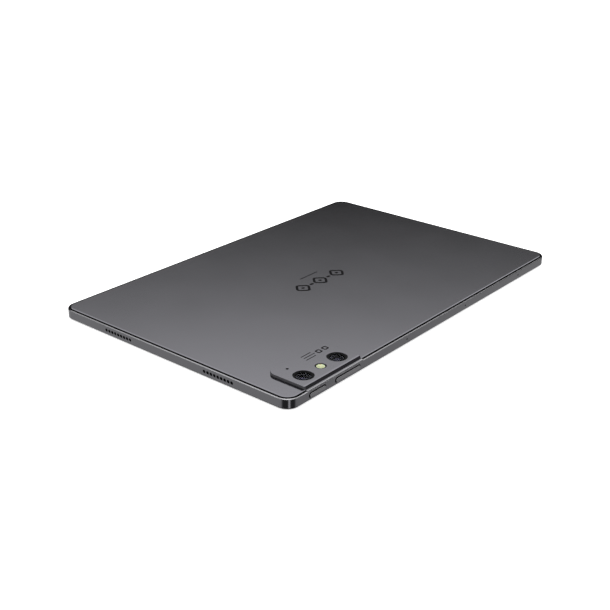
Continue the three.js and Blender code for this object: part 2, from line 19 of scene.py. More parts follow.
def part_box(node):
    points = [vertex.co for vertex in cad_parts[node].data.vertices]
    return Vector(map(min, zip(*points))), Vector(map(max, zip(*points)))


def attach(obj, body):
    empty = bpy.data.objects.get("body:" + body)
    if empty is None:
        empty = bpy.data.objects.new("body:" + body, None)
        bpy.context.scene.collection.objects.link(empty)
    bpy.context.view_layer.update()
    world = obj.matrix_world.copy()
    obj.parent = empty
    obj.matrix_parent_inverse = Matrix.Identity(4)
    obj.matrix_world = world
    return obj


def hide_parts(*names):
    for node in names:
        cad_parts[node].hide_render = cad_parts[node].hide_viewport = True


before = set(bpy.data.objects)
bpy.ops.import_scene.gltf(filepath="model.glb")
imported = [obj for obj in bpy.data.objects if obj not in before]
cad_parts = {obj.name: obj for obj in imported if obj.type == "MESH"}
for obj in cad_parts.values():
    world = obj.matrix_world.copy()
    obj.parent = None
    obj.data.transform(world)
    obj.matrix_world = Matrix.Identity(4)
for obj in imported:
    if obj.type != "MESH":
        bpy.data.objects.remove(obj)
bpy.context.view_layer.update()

LOG = logging.getLogger("tablet")
Point = tuple[float, float]
Triple = tuple[float, float, float]
Socket = bpy.types.NodeSocket

MM = 0.001
OVERCUT = 1.0  # how far a cutting tool runs past the faces that it cuts, in millimetres
SLIM = 0.01  # a round end's radius is this much under half its height, in millimetres
WELD = 2e-7  # points that are closer than this become one, in metres
SHARP = 32.0  # edges that turn more than this many degrees stay sharp
CUT_SHARP = 25.0  # the same for pieces with cuts or turned steps
DOME_SHARP = 60.0  # the same for domed glass
EVEN_WEIGHT = 100  # how strongly large flat faces keep their own direction

SPEAKERS = (1, 2, 3, 4)
EDGE_MICROPHONES = (1, 2, 3)
BOARD_SCREWS = (1, 2, 3, 4)


class Body(Enum):
    """The rigid bodies of the part."""

    TABLET = "tablet_body"
    POWER = "power_button"
    VOLUME = "volume_rocker"
    TRAY = "card_tray"
    BARREL_1 = "lens_barrel_1"
    BARREL_2 = "lens_barrel_2"


class Slot(Enum):
    """The material slots of the part's record."""

    FRAME = "frame_metal"
    COVER = "cover_metal"
    BUTTON = "button_metal"
    FRONT = "front_glass"
    FOAM = "adhesive_foam"
    STEEL = "sheet_steel"
    PLASTIC = "black_plastic"
    TRIM = "lens_trim"
    LENS = "lens_glass"
    FLASH = "flash_lens"


class Edge(Enum):
    """The four edges of the body, each by its outward direction."""

    LEFT = (-1.0, 0.0)
    RIGHT = (1.0, 0.0)
    NEAR = (0.0, -1.0)
    FAR = (0.0, 1.0)


# ---------------------------------------------------------------- node boxes


@dataclass(frozen=True)
class NodeBox:
    """Where a node of the part lies at rest, in millimetres."""

    low: Vector
    high: Vector

    @classmethod
    def of(cls, node: str) -> "NodeBox":
        """The box of one named node."""
        low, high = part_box(node)
        return cls(low / MM, high / MM)

    @property
    def centre(self) -> Vector:
        """The middle of the box."""
        return (self.low + self.high) / 2

    @property
    def size(self) -> Vector:
        """The length of the box along each axis."""
        return self.high - self.low


# ---------------------------------------------------------------- shader building


class Shader:
    """A material's node tree, with short calls for the nodes that the finishes share."""

    def __init__(self, name: str) -> None:
        """Starts a material with one principled surface.

        Args:
            name: The material's name.
        """
        self.material = bpy.data.materials.new(name)
        self.material.use_nodes = True
        self.tree = self.material.node_tree
        self.surface = self.tree.nodes["Principled BSDF"]
        self.place = self.tree.nodes.new("ShaderNodeTexCoord").outputs["Object"]

    def set(self, **values: object) -> "Shader":
        """Sets sockets of the surface by name.

        Args:
            values: Socket names in lower case with underscores, and their values.

        Returns:
            This shader.
        """
        names = {s.name.lower().replace(" ", "_"): s for s in self.surface.inputs}
        for key, value in values.items():
            if isinstance(value, tuple) and len(value) == 3:
                value = (*value, 1.0)
            names[key].default_value = value
        return self

    def node(self, kind: str, **settings: object) -> bpy.types.Node:
        """Adds a node and sets its own properties.

        Args:
            kind: The node's type.
            settings: Its properties and their values.

        Returns:
            The node.
        """
        made = self.tree.nodes.new(kind)
        for key, value in settings.items():
            setattr(made, key, value)
        return made

    def feed(self, output: Socket, socket: str) -> None:
        """Links an output to a socket of the surface."""
        self.tree.links.new(output, self.surface.inputs[socket])

    def noise(self, size: float, detail: float = 2.0, rough: float = 0.5,
              stretch: Optional[Triple] = None) -> Socket:
        """Noise whose features are about a given size.

        Args:
            size: Size of a feature in millimetres.
            detail: Octaves of finer noise.
            rough: How strong the finer octaves are.
            stretch: Factors that lengthen the features along each axis.

        Returns:
            The noise value, from 0 to 1.
        """
        made = self.node("ShaderNodeTexNoise")
        made.inputs["Scale"].default_value = 1.0 / (size * MM)
        made.inputs["Detail"].default_value = detail
        made.inputs["Roughness"].default_value = rough
        self.tree.links.new(self.stretched(stretch), made.inputs["Vector"])
        return made.outputs["Fac"]

    def stretched(self, stretch: Optional[Triple]) -> Socket:
        """Object coordinates, shortened so that a pattern gets longer along chosen axes.

        Args:
            stretch: Factors along each axis, or None to leave the pattern as it is.

        Returns:
            The coordinates.
        """
        if stretch is None:
            return self.place
        made = self.node("ShaderNodeMapping")
        made.inputs["Scale"].default_value = tuple(1.0 / s for s in stretch)
        self.tree.links.new(self.place, made.inputs["Vector"])
        return made.outputs["Vector"]

    def cells(self, size: float) -> Socket:
        """Distance to the nearest point of a cell pattern of a given size.

        Args:
            size: Size of a cell in millimetres.

        Returns:
            The distance, as a part of a cell.
        """
        made = self.node("ShaderNodeTexVoronoi", feature="F1")
        made.inputs["Scale"].default_value = 1.0 / (size * MM)
        self.tree.links.new(self.place, made.inputs["Vector"])
        return made.outputs["Distance"]

    def ramp(self, value: Socket, *stops: tuple[float, Triple]) -> Socket:
        """Colours along a value.

        Args:
            value: The value that picks the colour.
            stops: Positions from 0 to 1, each with its colour.

        Returns:
            The colour.
        """
        made = self.node("ShaderNodeValToRGB")
        elements = made.color_ramp.elements
        for element, (at, colour) in zip(elements, stops):
            element.position, element.color = at, (*colour, 1.0)
        for at, colour in stops[2:]:
            elements.new(at).color = (*colour, 1.0)
        self.tree.links.new(value, made.inputs["Fac"])
        return made.outputs["Color"]

    def span(self, value: Socket, low: float, high: float,
             start: float = 0.25, end: float = 0.75) -> Socket:
        """A value from start to end, carried to one from low to high and held inside them.

        Args:
            value: The value to carry.
            low: The result at the start.
            high: The result at the end.
            start: The value that gives the low result.
            end: The value that gives the high result.

        Returns:
            The carried value.
        """
        made = self.node("ShaderNodeMapRange", clamp=True)
        ends = {"From Min": start, "From Max": end, "To Min": low, "To Max": high}
        for name, number in ends.items():
            made.inputs[name].default_value = number
        self.tree.links.new(value, made.inputs["Value"])
        return made.outputs["Result"]

    def math(self, operation: str, *values: Socket | float) -> Socket:
        """One sum on values that are outputs of nodes or plain numbers.

        Args:
            operation: The sum's name.
            values: Outputs of nodes or numbers, in order.

        Returns:
            The result.
        """
        made = self.node("ShaderNodeMath", operation=operation)
        for socket, value in zip(made.inputs, values):
            if isinstance(value, Socket):
                self.tree.links.new(value, socket)
            else:
                socket.default_value = value
        return made.outputs[0]

    def axes(self) -> tuple[Socket, Socket, Socket]:
        """The three object coordinates, in metres.

        Returns:
            X, Y and Z.
        """
        made = self.node("ShaderNodeSeparateXYZ")
        self.tree.links.new(self.place, made.inputs[0])
        return made.outputs[0], made.outputs[1], made.outputs[2]

    def bump(self, height: Socket, depth: float, strength: float) -> None:
        """Raises the surface by a height field.

        Args:
            height: The field, from 0 to 1.
            depth: What 1 stands for, in millimetres.
            strength: How much of the slope is used.
        """
        made = self.node("ShaderNodeBump")
        made.inputs["Strength"].default_value = strength
        made.inputs["Distance"].default_value = depth * MM
        self.tree.links.new(height, made.inputs["Height"])
        self.feed(made.outputs["Normal"], "Normal")


def shade(colour: Triple, factor: float) -> Triple:
    """A colour made lighter or darker by a factor."""
    return tuple(min(1.0, c * factor) for c in colour)


# ---------------------------------------------------------------- finishes


@dataclass(frozen=True)
class BlastedAnodised:
    """Aluminium blasted with fine beads and anodised dark grey."""

    name: str = "dark_grey_anodised"
    colour: Triple = (0.15, 0.148, 0.164)
    roughness: float = 0.12
    grain: float = 0.16
    metallic: float = 1.0
    cloud_size: float = 34.0
    cloud_share: float = 0.65

    def build(self) -> bpy.types.Material:
        """Builds the material: a fine pitted grain and faint clouds in tone.

        Returns:
            The material.
        """
        made = Shader(self.name)
        made.set(metallic=self.metallic, specular_ior_level=0.1)
        cloud = made.noise(self.cloud_size, 3.0)
        fine = made.noise(self.grain, 2.0)
        tone = made.math("ADD", made.math("MULTIPLY", fine, 1.0 - self.cloud_share),
                         made.math("MULTIPLY", cloud, self.cloud_share))
        low, high = shade(self.colour, 0.96), shade(self.colour, 1.04)
        made.feed(made.ramp(tone, (0.25, low), (0.75, high)), "Base Color")
        made.feed(made.span(cloud, self.roughness - 0.01, self.roughness + 0.015), "Roughness")
        made.bump(fine, 0.001, 0.15)
        return made.material


@dataclass(frozen=True)
class CutEdge:
    """The bright line that a diamond tool leaves on an anodised edge."""

    name: str = "cut_edge"
    colour: Triple = (0.52, 0.515, 0.535)
    roughness: float = 0.2

    def build(self) -> bpy.types.Material:
        """Builds the material: bright metal with fine marks along the cut.

        Returns:
            The material.
        """
        made = Shader(self.name)
        made.set(metallic=1.0, roughness=self.roughness)
        marks = made.noise(0.08, 1.0, stretch=(40.0, 40.0, 1.0))
        low, high = shade(self.colour, 0.93), shade(self.colour, 1.05)
        made.feed(made.ramp(marks, (0.3, low), (0.7, high)), "Base Color")
        made.feed(made.span(marks, self.roughness - 0.03, self.roughness + 0.05), "Roughness")
        return made.material


@dataclass(frozen=True)
class BlackTrim:
    """Black anodised trim."""

    name: str = "black_trim"
    colour: Triple = (0.003, 0.003, 0.0035)
    roughness: float = 0.35
    gloss: float = 0.04

    def build(self) -> bpy.types.Material:
        """Builds the material: near black with a faint fine grain.

        Returns:
            The material.
        """
        made = Shader(self.name)
        made.set(specular_ior_level=self.gloss)
        fine = made.noise(0.12, 2.0)
        low, high = shade(self.colour, 0.8), shade(self.colour, 1.3)
        made.feed(made.ramp(fine, (0.3, low), (0.7, high)), "Base Color")
        made.feed(made.span(fine, self.roughness - 0.03, self.roughness + 0.04), "Roughness")
        made.bump(fine, 0.002, 0.3)
        return made.material


@dataclass(frozen=True)
class CoatedLens:
    """Clear optical glass with a coating that leaves a faint violet tint."""

    name: str = "coated_lens"
    tint: Triple = (0.82, 0.84, 0.95)

    def build(self) -> bpy.types.Material:
        """Builds the material: clear glass whose coating is a little uneven.

        Returns:
            The material.
        """
        made = Shader(self.name)
        made.set(transmission_weight=1.0, ior=1.06, roughness=0.0, specular_tint=self.tint)
        cloud = made.noise(3.0, 1.0)
        low, high = shade(self.tint, 0.98), shade(self.tint, 1.0)
        made.feed(made.ramp(cloud, (0.3, low), (0.7, high)), "Base Color")
        return made.material


@dataclass(frozen=True)
class VioletElement:
    """The front element of a lens: deep, dark and glossy, with a violet bloom."""

    name: str = "front_element"

    def build(self) -> bpy.types.Material:
        """Builds the material: a faint uneven bloom over near black.

        Returns:
            The material.
        """
        made = Shader(self.name)
        made.set(roughness=0.05, specular_ior_level=0.12, specular_tint=(0.85, 0.82, 1.0))
        cloud = made.noise(1.6, 2.0)
        made.feed(made.ramp(
            cloud, (0.3, (0.004, 0.004, 0.007)), (0.7, (0.008, 0.006, 0.014))), "Base Color")
        return made.material


@dataclass(frozen=True)
class FlashPlastic:
    """The pale yellow plastic of a flash lens, with phosphor behind it."""

    name: str = "flash_plastic"
    pale: Triple = (0.52, 0.55, 0.38)
    deep: Triple = (0.38, 0.42, 0.2)

    def build(self) -> bpy.types.Material:
        """Builds the material: pale clouds over a deeper yellow, with light carried inside.

        Returns:
            The material.
        """
        made = Shader(self.name)
        made.set(roughness=0.3, specular_ior_level=0.3)
        made.set(subsurface_weight=0.3, subsurface_scale=0.4 * MM)
        cloud = made.noise(1.4, 2.0)
        made.feed(made.ramp(cloud, (0.3, self.deep), (0.62, self.pale)), "Base Color")
        return made.material


@dataclass(frozen=True)
class PrintedInk:
    """Near-black ink, printed on the metal."""

    name: str = "printed_ink"
    colour: Triple = (0.0025, 0.0025, 0.003)

    def build(self) -> bpy.types.Material:
        """Builds the material: a thin film that shows the blasted grain under it a little.

        Returns:
            The material.
        """
        made = Shader(self.name)
        made.set(specular_ior_level=0.02)
        fine = made.noise(0.16, 2.0)
        low, high = shade(self.colour, 0.8), shade(self.colour, 1.5)
        made.feed(made.ramp(fine, (0.3, low), (0.7, high)), "Base Color")
        made.feed(made.span(fine, 0.2, 0.3), "Roughness")
        made.bump(fine, 0.002, 0.25)
        return made.material


@dataclass(frozen=True)
class DisplayGlass:
    """Cover glass over a dark display, with a black printed border."""

    name: str = "display_glass"
    half_width: float = 130.3
    half_height: float = 81.45

    def build(self) -> bpy.types.Material:
        """Builds the material: the lit area is a shade bluer than its border.

        Returns:
            The material.
        """
        made = Shader(self.name)
        made.set(roughness=0.03, ior=1.5, coat_weight=0.3, coat_roughness=0.02)
        x, y, _ = made.axes()
        inside_x = made.math("LESS_THAN", made.math("ABSOLUTE", x), self.half_width * MM)
        inside_y = made.math("LESS_THAN", made.math("ABSOLUTE", y), self.half_height * MM)
        inside = made.math("MULTIPLY", inside_x, inside_y)
        smear = made.math("MULTIPLY", made.noise(60.0, 3.0), 0.25)
        made.feed(made.ramp(
            made.math("ADD", inside, smear),
            (0.0, (0.003, 0.003, 0.0035)),
            (0.5, (0.004, 0.004, 0.005)),
            (0.9, (0.011, 0.012, 0.016)),
            (1.0, (0.014, 0.015, 0.02)),
        ), "Base Color")
        made.feed(made.span(made.noise(25.0, 4.0), 0.02, 0.06), "Roughness")
        return made.material


@dataclass(frozen=True)
class RolledSheet:
    """Thin bright sheet with the marks of the rollers."""

    name: str = "rolled_sheet"
    colour: Triple = (0.55, 0.56, 0.58)
    roughness: float = 0.32

    def build(self) -> bpy.types.Material:
        """Builds the material: fine streaks along X and a little uneven tone.

        Returns:
            The material.
        """
        made = Shader(self.name)
        made.set(metallic=1.0)
        streaks = made.noise(0.3, 3.0, stretch=(60.0, 1.0, 1.0))
        low, high = shade(self.colour, 0.85), shade(self.colour, 1.12)
        made.feed(made.ramp(streaks, (0.3, low), (0.7, high)), "Base Color")
        made.feed(made.span(streaks, self.roughness - 0.06, self.roughness + 0.08), "Roughness")
        made.bump(streaks, 0.004, 0.3)
        return made.material


@dataclass(frozen=True)
class MouldedPlastic:
    """Moulded plastic with a fine spark-eroded texture."""

    name: str = "moulded_plastic"
    colour: Triple = (0.02, 0.02, 0.022)
    roughness: float = 0.5
    gloss: float = 0.4

    def build(self) -> bpy.types.Material:
        """Builds the material: a fine leathery grain.

        Returns:
            The material.
        """
        made = Shader(self.name)
        made.set(specular_ior_level=self.gloss)
        grain = made.cells(0.25)
        low, high = shade(self.colour, 0.75), shade(self.colour, 1.35)
        made.feed(made.ramp(grain, (0.1, low), (0.8, high)), "Base Color")
        low, high = self.roughness - 0.06, self.roughness + 0.08
        made.feed(made.span(grain, low, high, 0.1, 0.7), "Roughness")
        made.bump(grain, 0.01, 0.5)
        return made.material


@dataclass(frozen=True)
class WovenMesh:
    """Fine woven cloth over the sound openings, or close-cell foam."""

    name: str = "woven_mesh"
    pitch: float = 0.16

    def build(self) -> bpy.types.Material:
        """Builds the material: threads that cross at a fine pitch.

        Returns:
            The material.
        """
        made = Shader(self.name)
        made.set(roughness=0.85, specular_ior_level=0.04)
        _, y, z = made.axes()
        turns = math.pi / (self.pitch * MM)
        waves = (made.math("SINE", made.math("MULTIPLY", axis, turns)) for axis in (y, z))
        threads = made.math("MULTIPLY", *(made.math("ABSOLUTE", wave) for wave in waves))
        gap, thread = (0.03, 0.03, 0.031), (0.004, 0.004, 0.004)
        made.feed(made.ramp(threads, (0.1, gap), (0.7, thread)), "Base Color")
        made.bump(threads, 0.03, 0.6)
        return made.material


@dataclass(frozen=True)
class CircuitBoard:
    """Laminate under solder mask, with copper runs showing as lighter lines."""

    name: str = "circuit_board"
    mask: Triple = (0.004, 0.035, 0.02)
    copper: Triple = (0.012, 0.08, 0.045)

    def build(self) -> bpy.types.Material:
        """Builds the material: square-cornered runs and small pads.

        Returns:
            The material.
        """
        made = Shader(self.name)
        made.set(roughness=0.35, coat_weight=0.5, coat_roughness=0.15)
        runs = made.node("ShaderNodeTexBrick", offset=0.37)
        runs.inputs["Scale"].default_value = 1.0 / (4.0 * MM)
        runs.inputs["Mortar Size"].default_value = 0.035
        colours = {"Color1": self.mask, "Color2": shade(self.mask, 1.2), "Mortar": self.copper}
        for socket, colour in colours.items():
            runs.inputs[socket].default_value = (*colour, 1.0)
        made.tree.links.new(made.place, runs.inputs["Vector"])
        made.feed(runs.outputs["Color"], "Base Color")
        made.bump(runs.outputs["Fac"], 0.03, 0.5)
        return made.material


@dataclass(frozen=True)
class FlexFilm:
    """Amber polyimide film over fine copper traces."""

    name: str = "flex_film"

    def build(self) -> bpy.types.Material:
        """Builds the material: traces run along X under a glossy film.

        Returns:
            The material.
        """
        made = Shader(self.name)
        made.set(roughness=0.3, coat_weight=0.7, coat_roughness=0.1)
        _, y, _ = made.axes()
        lines = made.math("SINE", made.math("MULTIPLY", y, 2 * math.pi / (0.6 * MM)))
        made.feed(made.ramp(
            made.math("MULTIPLY_ADD", lines, 0.5, 0.5),
            (0.25, (0.2, 0.09, 0.02)), (0.6, (0.45, 0.2, 0.05))), "Base Color")
        made.bump(lines, 0.01, 0.4)
        return made.material


@dataclass(frozen=True)
class BatteryWrap:
    """The dark crinkled wrap of a soft battery pack."""

    name: str = "battery_wrap"

    def build(self) -> bpy.types.Material:
        """Builds the material: shallow wrinkles in a satin film.

        Returns:
            The material.
        """
        made = Shader(self.name)
        wrinkle = made.noise(9.0, 4.0, 0.6, stretch=(3.0, 1.0, 1.0))
        low, high = (0.012, 0.012, 0.014), (0.026, 0.026, 0.03)
        made.feed(made.ramp(wrinkle, (0.3, low), (0.7, high)), "Base Color")
        made.feed(made.span(wrinkle, 0.35, 0.5), "Roughness")
        made.bump(wrinkle, 0.15, 0.5)
        return made.material


# ---------------------------------------------------------------- mesh building


def rounded_rectangle(width: float, height: float, radii: Sequence[float], inset: float = 0.0,
                      steps: int = 20) -> list[Point]:
    """Points of a rounded rectangle about the origin, counter-clockwise.

    Args:
        width: Full length along the first axis.
        height: Full length along the second axis.
        radii: Corner radii in the order (+,+), (-,+), (-,-), (+,-).
        inset: How far the outline is drawn in.
        steps: Straight steps in each corner.

    Returns:
        The points, the same number for every inset.
    """
    points = []
    for k, (sx, sy) in enumerate(((1, 1), (-1, 1), (-1, -1), (1, -1))):
        r = radii[k]
        cx, cy = sx * (width / 2 - r), sy * (height / 2 - r)
        for i in range(steps + 1):
            a = (k + i / steps) * math.pi / 2
            points.append((cx + (r - inset) * math.cos(a), cy + (r - inset) * math.sin(a)))
    return points


def circle(radius: float, sides: int = 48) -> list[Point]:
    """Points of a circle about the origin, counter-clockwise."""
    turns = (2 * math.pi * i / sides for i in range(sides))
    return [(radius * math.cos(a), radius * math.sin(a)) for a in turns]


def round_ended(width: float, height: float, inset: float = 0.0, steps: int = 12) -> list[Point]:
    """Points of an outline with round ends about the origin, counter-clockwise."""
    return rounded_rectangle(width, height, [height / 2 - SLIM] * 4, inset, steps)


def rounding(inset: float, level: float, radius: float, steps: int = 5) -> list[Point]:
    """A quarter round from a wall up to a face, as (inset, level) pairs.

    Args:
        inset: Inset of the wall.
        level: Level of the face.
        radius: Radius of the round.
        steps: Straight steps.

    Returns:
        The pairs, from the wall to the face.
    """
    turns = (math.pi / 2 * i / steps for i in range(steps + 1))
    return [(inset + radius * (1 - math.cos(a)), level - radius * (1 - math.sin(a)))
            for a in turns]


def dome(radius: float, base: float, rise: float, steps: int) -> list[Point]:
    """The (radius, level) pairs of a dome, from its rim to just short of its middle."""
    turns = (math.pi / 2 * i / steps for i in range(steps))
    return [(radius * math.cos(a), base + rise * math.sin(a)) for a in turns]


@dataclass(frozen=True)
class Placement:
    """A place and three directions that carry a drawn shape into the part's frame."""

    origin: Vector
    u: Vector = Vector((1, 0, 0))
    v: Vector = Vector((0, 1, 0))
    w: Vector = Vector((0, 0, 1))

    @classmethod
    def at(cls, x: float = 0.0, y: float = 0.0, z: float = 0.0) -> "Placement":
        """A place whose directions are the frame's own."""
        return cls(Vector((x, y, z)))

    @classmethod
    def over(cls, box: NodeBox) -> "Placement":
        """The upright axis through the middle of a box, at the level of the glass."""
        return cls.at(box.centre.x, box.centre.y)

    @classmethod
    def facing(cls, edge: Edge, along: float, level: float, distance: float) -> "Placement":
        """A place on an edge of the body, where w points out of the edge.

        Args:
            edge: The edge.
            along: Position along the edge, as X or Y in the frame.
            level: Height above the glass.
            distance: How far the edge is from the middle of the body.

        Returns:
            The place, with u along the edge and v up or down.
        """
        w = Vector((*edge.value, 0.0))
        u = Vector((abs(w.y), abs(w.x), 0.0))
        return cls(w * distance + u * along + Vector((0, 0, level)), u, w.cross(u), w)

    def point(self, u: float, v: float, w: float) -> Vector:
        """A drawn point in the part's frame."""
        return self.origin + self.u * u + self.v * v + self.w * w


HERE = Placement.at()


class Shape:
    """The faces of one piece as they are gathered, in millimetres."""

    def __init__(self) -> None:
        """Starts with no faces."""
        self.points: list[Vector] = []
        self.faces: list[list[int]] = []
        self.marks: list[int] = []

    def ring(self, points: Iterable[Point], level: float, place: Placement = HERE) -> list[int]:
        """Adds the points of one outline.

        Args:
            points: The outline.
            level: Its distance along w.
            place: Where the outline is drawn.

        Returns:
            The numbers of the new points.
        """
        start = len(self.points)
        self.points.extend(place.point(u, v, level) for u, v in points)
        return list(range(start, len(self.points)))

    def bridge(self, first: Sequence[int], second: Sequence[int], mark: int = 0) -> None:
        """Joins two rings of equal length with a strip of faces.

        Args:
            first: The first ring.
            second: The second ring.
            mark: The finish number of the strip.
        """
        count = len(first)
        for i in range(count):
            j = (i + 1) % count
            self.faces.append([first[i], first[j], second[j], second[i]])
            self.marks.append(mark)

    def cap(self, ring: Sequence[int], mark: int = 0, turned: bool = False) -> None:
        """Closes a ring with one face."""
        self.faces.append(list(reversed(ring)) if turned else list(ring))
        self.marks.append(mark)

    def loft(self, levels: Sequence[tuple[Sequence[Point], float]], place: Placement = HERE,
             marks: Optional[Sequence[int]] = None, closed: bool = False) -> "Shape":
        """Adds a body through a stack of outlines.

        Args:
            levels: Outlines of equal length, each with its level.
            place: Where they are drawn.
            marks: One finish number for each strip, the bottom cap and the top cap.
            closed: True for a ring whose last outline joins the first.

        Returns:
            This shape.
        """
        rings = [self.ring(points, level, place) for points, level in levels]
        strips = len(rings) if closed else len(rings) - 1
        numbers = list(marks) if marks else [0] * (strips + 2)
        for k in range(strips):
            self.bridge(rings[k], rings[(k + 1) % len(rings)], numbers[k])
        if not closed:
            self.cap(rings[0], numbers[strips], turned=True)
            self.cap(rings[-1], numbers[strips + 1])
        return self

    def turned(self, profile: Sequence[Point], place: Placement = HERE, sides: int = 64,
               marks: Optional[Sequence[int]] = None, closed: bool = False) -> "Shape":
        """Adds a turned body from a profile of (radius, level) pairs."""
        levels = [(circle(r, sides), w) for r, w in profile]
        return self.loft(levels, place, marks, closed)

    def make(self, name: str, sharp: float = SHARP, weighted: bool = True) -> bpy.types.Object:
        """Makes the object.

        Args:
            name: The piece's name.
            sharp: Edges that turn more than this many degrees stay sharp.
            weighted: True where flat faces keep their own direction beside a curve.

        Returns:
            The object, in metres.
        """
        mesh = bpy.data.meshes.new(name)
        mesh.from_pydata([p * MM for p in self.points], [], self.faces)
        mesh.polygons.foreach_set("material_index", self.marks)
        mesh.update()
        made = bpy.data.objects.new(name, mesh)
        bpy.context.scene.collection.objects.link(made)
        tidy(made, sharp, weighted)
        return made


def tidy(obj: bpy.types.Object, sharp: float, weighted: bool = True) -> None:
    """Points every face out and shades curves smoothly beside flat faces.

    Args:
        obj: The object.
        sharp: Edges that turn more than this many degrees stay sharp.
        weighted: True where flat faces keep their own direction beside a curve.
    """
    work = bmesh.new()
    work.from_mesh(obj.data)
    bmesh.ops.remove_doubles(work, verts=work.verts, dist=WELD)
    bmesh.ops.recalc_face_normals(work, faces=work.faces)
    work.to_mesh(obj.data)
    work.free()
    obj.data.shade_smooth()
    obj.data.set_sharp_from_angle(angle=math.radians(sharp))
    if weighted:
        even = obj.modifiers.new("even", "WEIGHTED_NORMAL")
        even.keep_sharp = True
        even.weight = EVEN_WEIGHT


def carve(obj: bpy.types.Object, tool: Shape, sharp: float = SHARP) -> None:
    """Cuts a shape out of an object and keeps the result, with its finishes, as its mesh.

    Args:
        obj: The object to cut.
        tool: The bodies to take away, which don't touch each other.
        sharp: Edges that turn more than this many degrees stay sharp.
    """
    obj.modifiers.clear()
    cutter = tool.make(obj.name + "_tool", weighted=False)
    for material in obj.data.materials:
        cutter.data.materials.append(material)
    cut = obj.modifiers.new("cut", "BOOLEAN")
    cut.operation, cut.solver, cut.object = "DIFFERENCE", "EXACT", cutter
    graph = bpy.context.evaluated_depsgraph_get()
    mesh = bpy.data.meshes.new_from_object(obj.evaluated_get(graph))
    obj.modifiers.clear()
    old, obj.data = obj.data, mesh
    bpy.data.meshes.remove(old)
    bpy.data.objects.remove(cutter)
    tidy(obj, sharp)


class Assembly:
    """What every sub-assembly does with its pieces: finish, ride, replace and report."""

    finishes: dict[str, bpy.types.Material] = {}

    @classmethod
    def finish(cls, kind: object) -> bpy.types.Material:
        """The material of a finish, built the first time that it is asked for.

        Args:
            kind: The finish.

        Returns:
            Its material.
        """
        if kind.name not in cls.finishes:
            cls.finishes[kind.name] = kind.build()
        return cls.finishes[kind.name]

    def dress(self, obj: bpy.types.Object, *kinds: object) -> bpy.types.Object:
        """Gives a piece its finishes, in the order of its marks.

        Args:
            obj: The piece.
            kinds: The finishes.

        Returns:
            The piece.
        """
        for kind in kinds:
            obj.data.materials.append(self.finish(kind))
        return obj

    def place(self, obj: bpy.types.Object, body: Body, slot: Slot, *nodes: str) -> bpy.types.Object:
        """Puts a piece on its body in place of the part's nodes, and reports it.

        Args:
            obj: The piece.
            body: The body that it rides on.
            slot: The record's material slot; not used.
            nodes: The nodes that it stands for.

        Returns:
            The piece.
        """
        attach(obj, body.value)
        if nodes:
            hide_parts(*nodes)
        LOG.info("%s: %d faces on %s", obj.name, len(obj.data.polygons), body.value)
        return obj

    def repaint(self, kind: object, *nodes: str) -> None:
        """Gives nodes of the part that keep their own shape a finish.

        Args:
            kind: The finish.
            nodes: The nodes that get it.
        """
        for node in nodes:
            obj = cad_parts[node]
            obj.data.materials.clear()
            obj.data.materials.append(self.finish(kind))
            LOG.info("%s: %s", node, kind.name)


METAL = BlastedAnodised()
FRAME_METAL = BlastedAnodised("frame_anodised", (0.148, 0.147, 0.157), 0.14, 0.14)
KEY_METAL = BlastedAnodised("key_anodised", (0.21, 0.208, 0.218), 0.2, 0.12)
# A darker, non-metallic copy of the anodised finish for the island's steep walls: painted shade.
WALL_PAINTED_SHADE = BlastedAnodised("wall_anodised", (0.075, 0.074, 0.08), 0.4, 0.14, 0.0)
BRIGHT = CutEdge()
DARK = BlackTrim()
LIP_METAL = CutEdge("lip_edge", (0.3, 0.297, 0.31), 0.16)
# Near-black moulded finish of the seam gasket. The same finish is also laid as painted shade on
# metal faces in the seam, in the holes and slots, on the key sides, and on the microphone under the
# island's hole.
GASKET_AND_PAINTED_SHADE = MouldedPlastic("black_gasket", (0.005, 0.005, 0.005), 0.8, 0.04)
INK = PrintedInk()


# ---------------------------------------------------------------- housing


